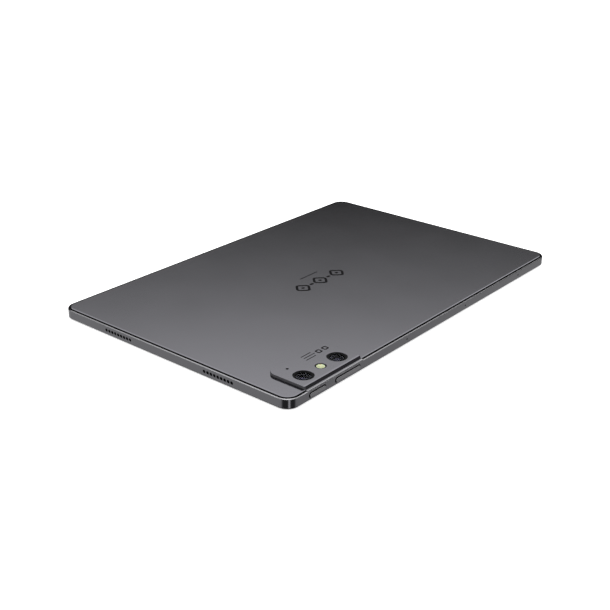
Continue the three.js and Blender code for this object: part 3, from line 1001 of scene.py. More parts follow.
@dataclass
class Housing(Assembly):
    """The side frame, the rear cover and the display glass.

    A section is a list of pairs: an inset from the body's outline and a level above the glass.
    """

    corner: float = 8.0
    wall: float = 2.6
    ease: float = 0.05
    top_chamfer: float = 0.42
    top_chamfer_height: float = 0.62
    bright_share: float = 0.78
    foot_chamfer: float = 0.8
    foot_height: float = 0.85
    glass_inset: float = 1.3
    glass_round: float = 0.45
    recess_gap: float = 0.1
    bond_gap: float = 0.04
    seam_inset: float = 0.45
    seam_depth: float = 0.75
    gasket_gap: float = 0.03
    gasket_dish: Point = (0.12, 0.08)
    # The cover's rim chamfer of this size, with the rim wall under it, gets the black finish as
    # painted shade.
    cover_shade: float = 0.3
    cover_bevel: float = 0.7
    cover_bevel_height: float = 0.25
    cover_roll: tuple[Point, ...] = ((-0.12, -0.035), (0.0, -0.01), (0.2, 0.0))
    # Mark 1, the black finish, goes on the rim wall, the rim chamfer and the underside: painted
    # shade in the seam.
    cover_marks: tuple[int, ...] = (1, 1, 0, 0, 0, 1, 0)
    holes: int = 9
    hole_pitch: float = 2.61
    hole_radius: float = 1.0
    # Mark 2, the black finish, goes on the walls of the frame's holes and slots: painted shade.
    hole_marks: tuple[int, ...] = (2, 0, 0, 2, 0)
    microphone_radius: float = 0.55
    slot_ease: float = 0.06
    button_gap: float = 0.55
    port_gap: float = 0.18
    flange: float = 1.4
    notch_gap: float = 0.03
    notch_depth: float = 2.1
    camera_radius: float = 1.9
    camera_depth: float = 0.3
    camera_rim: tuple[Point, ...] = (
        (0.02, 0.3), (0.02, 0.03), (0.15, 0.01), (0.5, 0.06), (0.55, 0.06), (0.55, 0.3))
    element_share: float = 0.56
    body: NodeBox = field(default_factory=lambda: NodeBox.of("side_frame"))

    def outline(self, inset: float) -> list[Point]:
        """The body's outline drawn in by inset."""
        size = self.body.size
        return rounded_rectangle(size.x, size.y, [self.corner] * 4, inset)

    def ring(self, pairs: Sequence[Point], marks: Sequence[int]) -> Shape:
        """A closed ring from a section."""
        return Shape().loft([(self.outline(i), z) for i, z in pairs], marks=marks, closed=True)

    def on(self, edge: Edge, along: float) -> Placement:
        """A place on an edge, at the height of the buttons, holes and sockets."""
        distance = self.body.high.x if edge in (Edge.LEFT, Edge.RIGHT) else self.body.high.y
        return Placement.facing(edge, along, NodeBox.of("port_shell").centre.z, distance)

    def openings(self) -> Shape:
        """Every hole through the frame's wall, as one tool.

        Returns:
            The tool.
        """
        tool = Shape()
        for name in ("power_button", "volume_rocker"):
            box = NodeBox.of(name)
            place, length = self.on(Edge.NEAR, box.centre.x), box.size.x - 2 * self.flange
            self.slot(tool, place, length, box.size.z, self.button_gap)
        tray, port = NodeBox.of("card_tray"), NodeBox.of("port_shell")
        self.slot(tool, self.on(Edge.FAR, tray.centre.x), tray.size.x, tray.size.z, self.button_gap)
        self.slot(tool, self.on(Edge.RIGHT, 0.0), port.size.y, port.size.z, self.port_gap)
        for number in SPEAKERS:
            box = NodeBox.of(f"speaker_{number}")
            edge = Edge.LEFT if box.centre.x < 0 else Edge.RIGHT
            for i in range(self.holes):
                y = box.centre.y + (i - (self.holes - 1) / 2) * self.hole_pitch
                self.drill(tool, self.on(edge, y), self.hole_radius)
        for number in EDGE_MICROPHONES:
            x = NodeBox.of(f"edge_microphone_{number}").centre.x
            self.drill(tool, self.on(Edge.NEAR, x), self.microphone_radius)
        return tool

    def slot(self, tool: Shape, place: Placement, length: float, height: float,
             gap: float) -> None:
        """Adds a round-ended slot with a small eased edge to the tool.

        Args:
            tool: The tool that gets the slot.
            place: Its middle on the edge.
            length: Length of what passes through it.
            height: Height of what passes through it.
            gap: Clearance all round.
        """
        wide, high = length + 2 * gap, height + 2 * gap
        levels = [(0.0, -self.wall - OVERCUT), (0.0, -self.slot_ease),
                  (-self.slot_ease, 0.0), (-self.slot_ease, OVERCUT)]
        tool.loft([(round_ended(wide, high, inset, 10), w) for inset, w in levels],
                  place, self.hole_marks)

    def drill(self, tool: Shape, place: Placement, radius: float) -> None:
        """Adds a round hole with a small countersink to the tool.

        Args:
            tool: The tool that gets the hole.
            place: The hole's mouth on the edge.
            radius: Its radius.
        """
        mouth = radius + self.ease
        profile = [(radius, -self.wall - OVERCUT), (radius, -self.ease), (mouth, 0.0),
                   (mouth, OVERCUT)]
        tool.turned(profile, place, 32, self.hole_marks)

    def side_frame(self) -> bpy.types.Object:
        """Builds the machined ring round the body, with every opening in its wall.

        Returns:
            The piece.
        """
        low, high, e = self.body.low.z, self.body.high.z, self.ease
        shelf = NodeBox.of("rear_cover").low.z - e
        recess = NodeBox.of("glass_adhesive").high.z + self.bond_gap
        glass = self.glass_inset - self.recess_gap
        cover = self.seam_inset + SLIM
        c, h, f = self.top_chamfer, self.top_chamfer_height, self.foot_chamfer
        foot = low + self.foot_height
        section = [
            (glass, low), (f + e, low), (f - e, low + e), (e, foot - e), (0.0, foot + e),
            (0.0, high - h - e), (e * 0.7, high - h + e),
            (c * self.bright_share, high - h * (1 - self.bright_share)),
            (c - e * 0.4, high - e * 0.5), (c + e * 0.3, high), (self.seam_inset, high),
            (cover, high - e), (cover, shelf), (self.wall, shelf), (self.wall, recess),
            (glass, recess),
        ]
        # Mark 2, the black finish, goes on the top of the chamfer, the top face, the seam walls and
        # the inner faces: painted shade in the seam.
        marks = [0] * 5 + [1] * 2 + [2] * 9
        ring = self.ring(section, marks).make("side_frame_machined")
        made = self.dress(ring, FRAME_METAL, BRIGHT, GASKET_AND_PAINTED_SHADE)
        tool = self.openings()
        island, edge = CameraIsland(), self.body.low.y
        tool.loft(island.block(self.notch_gap, edge - OVERCUT, edge + self.notch_depth,
                               island.leg_bottom - self.notch_gap, high + OVERCUT))
        carve(made, tool, CUT_SHARP)
        return self.place(made, Body.TABLET, Slot.FRAME, "side_frame")

    def rear_cover(self) -> bpy.types.Object:
        """Builds the rear cover with a softly rounded rim and its opening under the island.

        Returns:
            The piece.
        """
        box = NodeBox.of("rear_cover")
        inset, top = self.body.high.x - box.high.x, box.high.z
        shoulder, flat = top - self.cover_bevel_height, inset + self.cover_bevel
        section = [(inset, box.low.z), (inset, shoulder - self.cover_shade),
                   (inset + self.cover_shade, shoulder)]
        section += [(flat + i, top + z) for i, z in self.cover_roll]
        levels = [(self.outline(i), z) for i, z in section]
        # The rim wall, its chamfer and the underside take the black finish: painted shade in the
        # seam.
        plate = Shape().loft(levels, marks=self.cover_marks).make("rear_cover_machined")
        made = self.dress(plate, METAL, GASKET_AND_PAINTED_SHADE)
        island = CameraIsland()
        upper = island.plan(-island.gap, -island.reach)
        lower = island.plan(island.ledge)
        step = island.bottom - island.clearance
        carve(made, Shape().loft([(lower, box.low.z - OVERCUT), (lower, step), (upper, step),
                                  (upper, top + OVERCUT)]), CUT_SHARP)
        return self.place(made, Body.TABLET, Slot.COVER, "rear_cover")

    def gasket(self) -> bpy.types.Object:
        """Builds the black gasket in the seam, dished between frame and cover.

        Returns:
            The piece.
        """
        cover = NodeBox.of("rear_cover")
        inner = self.body.high.x - cover.high.x - self.gasket_gap
        outer = self.seam_inset + self.gasket_gap
        low, top = cover.low.z, self.body.high.z - self.seam_depth
        run, rise = self.gasket_dish
        section = [(outer, low), (outer, top + rise), (outer + run, top), (inner - run, top),
                   (inner, top + rise), (inner, low)]
        ring = self.ring(section, [0] * len(section)).make("cover_gasket")
        made = self.dress(ring, GASKET_AND_PAINTED_SHADE)
        carve(made, CameraIsland().keep_out())
        return self.place(made, Body.TABLET, Slot.FOAM)

    def front_glass(self) -> bpy.types.Object:
        """Builds the cover glass with a curved edge on its front, and the front camera in it.

        Returns:
            The glass.
        """
        box = NodeBox.of("front_glass")
        low, high = box.low.z, box.high.z
        curve = rounding(self.glass_inset, high, self.glass_round)
        levels = [(self.outline(i), low + high - z) for i, z in reversed(curve)]
        levels.append((self.outline(self.glass_inset), high))
        made = Shape().loft(levels).make("front_glass_polished")
        place = Placement.over(NodeBox.of("front_camera"))
        radius = self.camera_radius
        pit = [(radius, low - OVERCUT), (radius, low + self.camera_depth)]
        carve(made, Shape().turned(pit, place, 48))
        self.dress(made, DisplayGlass())
        self.front_camera(place, low)
        return self.place(made, Body.TABLET, Slot.FRONT, "front_glass")

    def front_camera(self, place: Placement, low: float) -> None:
        """Builds the rim and the element of the front camera.

        Args:
            place: The camera's axis.
            low: The front of the glass.
        """
        section = [(self.camera_radius - r, low + z) for r, z in self.camera_rim]
        rim = Shape().turned(section, place, 48, closed=True).make("front_camera_rim", CUT_SHARP)
        self.place(self.dress(rim, DARK), Body.TABLET, Slot.TRIM)
        radius, depth = self.element_share * self.camera_radius, self.camera_depth
        curve = [(radius, low + depth)] + dome(radius, low + depth * 0.9, -depth * 0.7, 8)
        element = Shape().turned(curve, place, 48)
        made = element.make("front_camera_element", DOME_SHARP, weighted=False)
        self.place(self.dress(made, VioletElement()), Body.TABLET, Slot.LENS)

    def build(self) -> None:
        """Builds the whole housing."""
        self.side_frame()
        self.rear_cover()
        self.gasket()
        self.front_glass()
        foam = MouldedPlastic("adhesive_foam", (0.012, 0.012, 0.012), 0.85)
        self.repaint(foam, "glass_adhesive")


# ---------------------------------------------------------------- camera island


@dataclass
class CameraIsland(Assembly):
    """The raised plate, its holes, and the lip that carries it over the seam."""

    corner: float = 6.0
    sharp_corner: float = 0.6
    bottom: float = 6.84
    foot: float = 7.1
    foot_inset: float = 1.33
    lean: float = 0.95
    wall_height: float = 1.7
    painted_shade_slope: float = 0.3
    # Faces of the plate steeper than this get the darker wall finish: painted shade.
    shoulder: float = 1.1
    edge: float = 0.1
    roll_start: float = 35.0
    roll_steps: int = 7
    gap: float = 0.15
    clearance: float = 0.04
    reach: float = 3.0
    ledge: float = 2.5
    leg: float = 0.6
    leg_bottom: float = 6.4
    leg_gap: float = 0.12
    lip_top: float = 7.07
    lip_tuck: float = 0.3
    lip_slope: Point = (0.03, 0.04)
    lip_ease: float = 0.05
    lens_hole: float = 5.95
    flash_hole: float = 3.3
    microphone_hole: float = 0.9
    # Mark 1, the black finish, goes on the walls of the island's bores: painted shade in the holes.
    hole_marks: tuple[int, ...] = (1, 0, 0, 1, 0)
    box: NodeBox = field(default_factory=lambda: NodeBox.of("camera_island"))

    def plan(self, inset: float, lean: float = 0.0) -> list[Point]:
        """The island's outline.

        Args:
            inset: How far it is drawn in.
            lean: How far the outer long side alone is moved in.

        Returns:
            The points, in the frame of the part.
        """
        low_y = self.box.low.y + self.foot_inset + lean
        width, depth = self.box.size.x - 2 * inset, self.box.high.y - low_y - 2 * inset
        middle_x, middle_y = self.box.centre.x, (self.box.high.y + low_y) / 2
        round_corner = max(self.corner - inset, 0.5)
        radii = [round_corner, round_corner, self.sharp_corner, self.sharp_corner]
        points = rounded_rectangle(width, depth, radii)
        return [(middle_x + x, middle_y + y) for x, y in points]

    def block(self, gap: float, near: float, far: float, low: float,
              high: float) -> list[tuple[list[Point], float]]:
        """The two ends of a block that is as long as the island.

        Args:
            gap: How much longer it is at each end.
            near: Its lowest Y.
            far: Its highest Y.
            low: The level of its underside.
            high: The level of its top.

        Returns:
            The outline at each end, with its level.
        """
        start, end = self.box.low.x - gap, self.box.high.x + gap
        plan = [(start, near), (end, near), (end, far), (start, far)]
        return [(plan, low), (plan, high)]

    def keep_out(self) -> Shape:
        """The room that the island takes in the seam, as a cutting tool.

        Returns:
            The tool.
        """
        near = self.box.low.y
        return Shape().loft(self.block(0.02, near - OVERCUT, near + 4, self.leg_bottom - 2,
                                       self.box.high.z))

    def bore(self, tool: Shape, node: str, radius: float, ease: float) -> None:
        """Adds a hole through the plate with an eased rim to the tool.

        Args:
            tool: The tool that gets the hole.
            node: The node that the hole is over.
            radius: The hole's radius.
            ease: How far its rim is cut back.
        """
        top = self.box.high.z
        profile = [(radius, self.bottom - OVERCUT), (radius, top - ease), (radius + ease, top),
                   (radius + ease, top + OVERCUT)]
        tool.turned(profile, Placement.over(NodeBox.of(node)), 96, self.hole_marks)

    def plate(self) -> bpy.types.Object:
        """Builds the plate: its outer long wall leans in and rolls over into the top.

        Returns:
            The piece.
        """
        top, start, steps = self.box.high.z, math.radians(self.roll_start), self.roll_steps
        levels = [(self.plan(0.0), self.bottom), (self.plan(0.0), self.foot)]
        knee = self.foot + self.wall_height
        for k in range(steps + 1):
            a = start + (math.pi / 2 - start) * k / steps
            run = (math.cos(start) - math.cos(a)) / math.cos(start)
            rise = (math.sin(a) - math.sin(start)) / (1 - math.sin(start))
            outline = self.plan(self.edge * run, self.lean + self.shoulder * run)
            levels.append((outline, knee + (top - knee) * rise))
        plate = Shape().loft(levels).make("camera_island_machined")
        made = self.dress(plate, METAL, GASKET_AND_PAINTED_SHADE, WALL_PAINTED_SHADE)
        tool = Shape()
        for node, radius, ease in (
            ("lens_ring_1", self.lens_hole, 0.12),
            ("lens_ring_2", self.lens_hole, 0.12),
            ("flash_diffuser", self.flash_hole, 0.08),
            ("rear_microphone", self.microphone_hole, 0.05),
        ):
            self.bore(tool, node, radius, ease)
        carve(made, tool, CUT_SHARP)
        # The plate's steep walls take the darker wall finish: painted shade. Its bore walls keep
        # mark 1, the black finish, which is also painted shade.
        for face in made.data.polygons:
            if face.material_index == 0 and abs(face.normal.z) < self.painted_shade_slope:
                face.material_index = 2
        return self.place(made, Body.TABLET, Slot.COVER, "camera_island")

    def lip(self) -> bpy.types.Object:
        """Builds the bright lip that carries the island's foot to the side of the body.

        Returns:
            The piece.
        """
        outer, foot_y = self.box.low.y, self.box.low.y + self.foot_inset
        leg, tuck = self.leg_bottom + self.leg_gap, foot_y + self.lip_tuck
        run, fall = self.lip_slope
        section = [
            (outer, leg), (outer + self.leg, leg), (outer + self.leg, self.bottom),
            (tuck, self.bottom), (tuck, self.foot), (foot_y, self.foot),
            (outer + run, self.lip_top), (outer, self.lip_top - fall),
        ]
        along = Placement(Vector((0, 0, 0)), Vector((0, 1, 0)), Vector((0, 0, 1)),
                          Vector((1, 0, 0)))
        middle = Vector((sum(p[0] for p in section), sum(p[1] for p in section))) / len(section)
        start, end, ease = self.box.low.x, self.box.high.x, self.lip_ease
        levels = []
        for pull, x in ((ease, start), (0.0, start + ease), (0.0, end - ease), (ease, end)):
            pulled = [Vector(p) + (middle - Vector(p)).normalized() * pull for p in section]
            levels.append(([(p.x, p.y) for p in pulled], x))
        made = Shape().loft(levels, along).make("island_lip_machined")
        for face in made.data.polygons:
            face.material_index = int(face.normal.y < -0.9)
        self.dress(made, LIP_METAL, FRAME_METAL)
        return self.place(made, Body.TABLET, Slot.FRAME)

    def build(self) -> None:
        """Builds the plate and its lip."""
        self.plate()
        self.lip()
        # The microphone under the island's hole takes the black finish so that the hole reads dark:
        # painted shade.
        self.repaint(GASKET_AND_PAINTED_SHADE, "rear_microphone")


@dataclass
class Camera(Assembly):
    """One camera of the island: trim ring, window, printed mask, barrel and front element."""

    number: int
    body: Body
    sides: int = 96
    ring_bore: float = 4.4
    ring_ease: float = 0.1
    land: float = 0.55
    steps: int = 5
    step_fall: float = 0.09
    step_cut: Point = (0.03, 0.07)
    mask_bore: float = 2.9
    mask_film: float = 0.1
    barrel_sides: int = 72
    thread: tuple[float, float, float] = (0.35, 0.8, 1.0)
    barrel_ease: float = 0.3
    baffles: int = 4
    baffle_start: float = 0.6
    baffle_pitch: Point = (0.16, 0.1)
    baffle_cut: Point = (0.02, 0.09)
    seat: Point = (1.85, 0.5)
    element_radius: float = 1.8
    element_rise: float = 0.34

    def node(self, piece: str) -> NodeBox:
        """The box of one of this camera's nodes."""
        return NodeBox.of(f"{piece}_{self.number}")

    def ring(self) -> None:
        """Builds the stepped trim ring round the lens."""
        box = self.node("lens_ring")
        outer, low, high = box.size.x / 2, box.low.z, box.high.z
        profile = [(self.ring_bore, low), (outer, low), (outer, high - self.ring_ease),
                   (outer - self.ring_ease, high), (outer - 0.5, high)]
        room = outer - self.land - 0.05 - self.ring_bore
        lean, drop = self.step_cut
        for k in range(self.steps):
            r = outer - self.land - k * room / self.steps
            z = high - 0.02 - k * self.step_fall
            profile += [(r, z), (r - lean, z - drop)]
        profile.append((self.ring_bore, high - 0.5))
        ring = Shape().turned(profile, Placement.over(box), self.sides, closed=True)
        made = self.dress(ring.make(f"lens_ring_turned_{self.number}", CUT_SHARP), DARK)
        self.place(made, Body.TABLET, Slot.TRIM, f"lens_ring_{self.number}")

    def window(self) -> None:
        """Builds the flat window over the lens, with a black mask printed under its rim."""
        box = self.node("lens_window")
        outer, low, high = box.size.x / 2, box.low.z, box.high.z
        profile = [(outer - 0.05, low + 0.02), (outer, low + 0.08), (outer, high - 0.1),
                   (outer - 0.1, high)]
        glass = Shape().turned(profile, Placement.over(box), self.sides)
        name = f"lens_window_polished_{self.number}"
        made = self.dress(glass.make(name, CUT_SHARP), CoatedLens())
        self.place(made, Body.TABLET, Slot.LENS, f"lens_window_{self.number}")
        bore, film = self.mask_bore, low - self.mask_film
        profile = [(bore, film), (outer, film), (outer, low), (bore, low)]
        mask = Shape().turned(profile, Placement.over(box), self.sides, closed=True)
        made = self.dress(mask.make(f"lens_mask_{self.number}"), INK)
        self.place(made, Body.TABLET, Slot.TRIM)

    def barrel(self) -> None:
        """Builds the barrel that focuses, with baffle steps and a domed front element."""
        box = self.node("lens_barrel")
        outer, low, high = box.size.x / 2, box.low.z, box.high.z
        cut, start, end = self.thread
        profile = [(outer - cut, low), (outer - cut, low + start), (outer, low + end),
                   (outer, high - self.barrel_ease), (outer - self.barrel_ease, high)]
        (run, fall), (lean, drop) = self.baffle_pitch, self.baffle_cut
        for k in range(self.baffles):
            r, z = outer - self.baffle_start - run * k, high - fall * k
            profile += [(r, z), (r - lean, z - drop)]
        radius, depth = self.seat
        profile.append((radius, high - depth))
        barrel = Shape().turned(profile, Placement.over(box), self.barrel_sides)
        made = self.dress(barrel.make(f"lens_barrel_turned_{self.number}", CUT_SHARP), DARK)
        self.place(made, self.body, Slot.TRIM, f"lens_barrel_{self.number}")
        radius = self.element_radius
        curve = [(radius, high - 0.49)] + dome(radius, high - 0.47, self.element_rise, 12)
        element = Shape().turned(curve, Placement.over(box))
        made = element.make(f"front_element_{self.number}", DOME_SHARP, weighted=False)
        self.place(self.dress(made, VioletElement()), self.body, Slot.LENS)

    def build(self) -> None:
        """Builds the camera."""
        self.ring()
        self.window()
        self.barrel()
        self.repaint(MouldedPlastic(), f"camera_module_{self.number}")


@dataclass
class Flash(Assembly):
    """The flash between the cameras: a lens with fine concentric rings, in a black rim."""

    radius: float = 2.5
    sides: int = 72
    rings: int = 7
    ring_width: float = 0.1
    margin: float = 0.35
    valley: float = 0.14
    crest: float = 0.02

    def build(self) -> None:
        """Builds the lens and its rim."""
        box = NodeBox.of("flash_diffuser")
        outer, low, high, place = self.radius, box.low.z, box.high.z, Placement.over(box)
        profile = [(outer, low), (outer, high - 0.2), (outer - 0.12, high - 0.1)]
        for k in range(self.rings):
            r = (outer - self.margin) * (1 - k / self.rings)
            profile += [(r, high - self.valley), (r - self.ring_width, high - self.crest)]
        profile[-1] = (0.12, high - self.crest)
        lens = Shape().turned(profile, place, self.sides).make("flash_lens_moulded", CUT_SHARP)
        self.place(self.dress(lens, FlashPlastic()), Body.TABLET, Slot.FLASH, "flash_diffuser")
        inner, hole = outer + 0.03, CameraIsland.flash_hole - 0.02
        profile = [(inner, low), (hole, low), (hole, high - 0.06), (inner, high - 0.1)]
        rim = Shape().turned(profile, place, self.sides, closed=True).make("flash_rim")
        self.place(self.dress(rim, DARK), Body.TABLET, Slot.TRIM)
        self.repaint(CircuitBoard(), "flash_led")


# ---------------------------------------------------------------- printed marks


@dataclass
class PrintedMarks(Assembly):
    """Plain generic marks printed on the cover and the island.

    A bar is its middle, its length and its height.
    """

    film: float = 0.03
    diamonds: tuple[float, ...] = (-20.0, -2.5, 15.0)
    dashes: tuple[float, ...] = (-11.25, 6.25)
    row: float = -1.9
    diamond_size: float = 9.6
    diamond_line: float = 1.7
    dot_size: Point = (2.4, 2.2)
    dash_size: Point = (3.6, 1.8)
    rule: tuple[float, float, float, float] = (-1.0, 9.05, 18.0, 0.8)
    lines: tuple[tuple[float, float, float], ...] = (
        (-95.6, -66.8, 8.5), (-95.2, -69.1, 9.5), (-96.4, -71.4, 8.5))
    line_width: float = 0.55
    squares: tuple[Point, ...] = ((-87.2, -69.4), (-81.6, -69.4))
    square_size: float = 3.8
    square_line: float = 0.9

    def bar(self, shape: Shape, x: float, y: float, length: float, height: float,
            level: float) -> None:
        """Adds a round-ended bar."""
        plan = rounded_rectangle(length, height, [height * 0.49] * 4, 0, 8)
        shape.loft([(plan, level), (plan, level + self.film)], Placement.at(x, y, 0))

    def frame_mark(self, shape: Shape, x: float, y: float, size: float, line: float,
                   level: float, turn: float = 0.0) -> None:
        """Adds the outline of a rounded square.

        Args:
            shape: The shape that gets it.
            x: Its middle.
            y: Its middle.
            size: Length of its side.
            line: Width of its line.
            level: Height of the face that it is printed on.
            turn: How far it is turned, in degrees.
        """
        c, s = math.cos(math.radians(turn)), math.sin(math.radians(turn))
        outer, inner = (
            [(u * c - v * s, u * s + v * c)
             for u, v in rounded_rectangle(size, size, [size * 0.28] * 4, inset, 12)]
            for inset in (0.0, line))
        top = level + self.film
        shape.loft([(inner, level), (outer, level), (outer, top), (inner, top)],
                   Placement.at(x, y, 0), closed=True)

    def cover_mark(self) -> None:
        """Prints three diamonds with dashes between them and a short line beside them."""
        level = NodeBox.of("rear_cover").high.z
        shape = Shape()
        for x in self.diamonds:
            self.frame_mark(shape, x, self.row, self.diamond_size, self.diamond_line, level, 45.0)
            self.bar(shape, x, self.row, *self.dot_size, level)
        for x in self.dashes:
            self.bar(shape, x, self.row, *self.dash_size, level)
        self.bar(shape, *self.rule, level)
        self.place(self.dress(shape.make("cover_mark"), INK), Body.TABLET, Slot.PLASTIC)

    def island_mark(self) -> None:
        """Prints three short lines and two small squares beside the cameras."""
        level = NodeBox.of("camera_island").high.z
        shape = Shape()
        for x, y, length in self.lines:
            self.bar(shape, x, y, length, self.line_width, level)
        for x, y in self.squares:
            self.frame_mark(shape, x, y, self.square_size, self.square_line, level)
        self.place(self.dress(shape.make("island_mark"), INK), Body.TABLET, Slot.PLASTIC)

    def build(self) -> None:
        """Prints every mark."""
        self.cover_mark()
        self.island_mark()


# ---------------------------------------------------------------- buttons


@dataclass
class SideButton(Assembly):
    """A key in the near edge: a rounded cap, a flange that keeps it in, and nubs for switches.

    The depths are measured in from the face of the frame.
    """

    node: str
    body: Body
    nubs: tuple[float, ...]
    flange: float = 1.4
    flange_height: float = 2.1
    flange_depths: Point = (3.44, 3.02)
    cap_depth: float = 3.0
    cap_round: float = 0.14
    cap_fall: float = 0.015
    cap_flat: float = 0.6
    nub_length: float = 3.0
    nub_height: float = 1.4
    nub_depth: float = 3.46

    def build(self) -> None:
        """Builds the key."""
        box = NodeBox.of(self.node)
        length, height, face = box.size.x - 2 * self.flange, box.size.z, -box.low.y
        place = Placement.facing(Edge.NEAR, box.centre.x, box.centre.z, 0.0)
        wall = NodeBox.of("side_frame").high.y
        crown = rounding(0.0, face, self.cap_round, 6)[:-1]
        crown += [(self.cap_round, face - self.cap_fall), (self.cap_flat, face)]
        section = [(0.0, wall - self.cap_depth)] + crown
        # The cap's sides and the start of its rounding take the black finish: painted shade in the
        # gap round the key.
        shape = Shape().loft([(round_ended(length, height, i, 14), w) for i, w in section],
                             place, [1, 1] + [0] * len(crown))
        low, high = (wall - depth for depth in self.flange_depths)
        self.block(shape, place, 0.0, box.size.x, self.flange_height, low, high)
        for offset in self.nubs:
            self.block(shape, place, offset, self.nub_length, self.nub_height, -box.high.y,
                       wall - self.nub_depth)
        made = self.dress(shape.make(f"{self.node}_key"), KEY_METAL, GASKET_AND_PAINTED_SHADE)
        self.place(made, self.body, Slot.BUTTON, self.node)

    def block(self, shape: Shape, place: Placement, along: float, length: float, height: float,
              low: float, high: float) -> None:
        """Adds a block with eased corners behind the cap.

        Args:
            shape: The shape that gets it.
            place: The key's place on the edge.
            along: Its middle along the edge.
            length: Its length along the edge.
            height: Its height.
            low: How far out it starts.
            high: How far out it ends.
        """
        plan = rounded_rectangle(length, height, [0.3] * 4, 0, 3)
        moved = [(u + along, v) for u, v in plan]
        shape.loft([(moved, low), (moved, high)], place)


@dataclass
class ButtonWorks(Assembly):
    """The switches behind the keys and the bracket that backs them."""

    nodes: tuple[str, ...] = (
        "power_switch", "volume_up_switch", "volume_down_switch", "button_bracket")

    def build(self) -> None:
        """Dresses the switches and the bracket."""
        self.repaint(RolledSheet(), *self.nodes)


# ---------------------------------------------------------------- port and tray


@dataclass
class Port(Assembly):
    """The socket in the right edge: a drawn steel shell and a tongue with its contacts."""

    wall: float = 0.3
    rim: float = 0.08
    base_size: Point = (8.2, 2.4)
    base_depth: float = 1.0
    blade_size: Point = (6.7, 0.7)
    blade_gap: float = 0.02
    blade_ease: float = 0.15
    contacts: int = 12
    pitch: float = 0.5
    contact_width: float = 0.24
    contact_film: float = 0.02
    contact_ends: Point = (1.2, 0.6)

    def shell(self, place: Placement) -> None:
        """Builds the shell.

        Args:
            place: The socket's axis.
        """
        box = NodeBox.of("port_shell")
        low, high, ease = box.low.x, box.high.x, self.rim
        section = [(self.wall, low), (0.0, low), (0.0, high - ease), (ease, high),
                   (self.wall - ease, high), (self.wall, high - ease)]
        shell = Shape().loft([(round_ended(box.size.y, box.size.z, i), w) for i, w in section],
                             place, closed=True)
        steel = RolledSheet("socket_steel", (0.5, 0.5, 0.51), 0.25)
        made = self.dress(shell.make("port_shell_drawn"), steel)
        self.place(made, Body.TABLET, Slot.STEEL, "port_shell")

    def tongue(self, place: Placement) -> None:
        """Builds the tongue on its base.

        Args:
            place: The socket's axis.
        """
        box = NodeBox.of("port_tongue")
        low, high, ease = box.low.x, box.high.x, self.blade_ease
        base = round_ended(*self.base_size, 0.0, 10)
        tongue = Shape().loft([(base, low), (base, low + self.base_depth)], place)
        blade = [(0.0, low + self.base_depth + self.blade_gap), (0.0, high - ease), (ease, high)]
        tongue.loft([(rounded_rectangle(*self.blade_size, [0.3] * 4, i, 4), w) for i, w in blade],
                    place)
        made = self.dress(tongue.make("port_tongue_moulded"), MouldedPlastic())
        self.place(made, Body.TABLET, Slot.PLASTIC, "port_tongue")

    def pads(self, place: Placement) -> None:
        """Builds a row of contacts on each side of the tongue.

        Args:
            place: The socket's axis.
        """
        box = NodeBox.of("port_tongue")
        start, end = self.contact_ends
        low, high = box.low.x + start, box.high.x - end
        half, face = self.contact_width / 2, self.blade_size[1] / 2
        pads = Shape()
        for side in (-1, 1):
            under, over = side * face, side * (face + self.contact_film)
            for k in range(self.contacts):
                u = (k - (self.contacts - 1) / 2) * self.pitch
                plan = [(u - half, under), (u + half, under), (u + half, over), (u - half, over)]
                pads.loft([(plan, low), (plan, high)], place)
        gold = RolledSheet("contact_gold", (0.75, 0.52, 0.2), 0.22)
        made = self.dress(pads.make("port_contacts", weighted=False), gold)
        self.place(made, Body.TABLET, Slot.STEEL)

    def build(self) -> None:
        """Builds the shell, the tongue and the contacts."""
        place = Placement.facing(Edge.RIGHT, 0.0, NodeBox.of("port_shell").centre.z, 0.0)
        self.shell(place)
        self.tongue(place)
        self.pads(place)


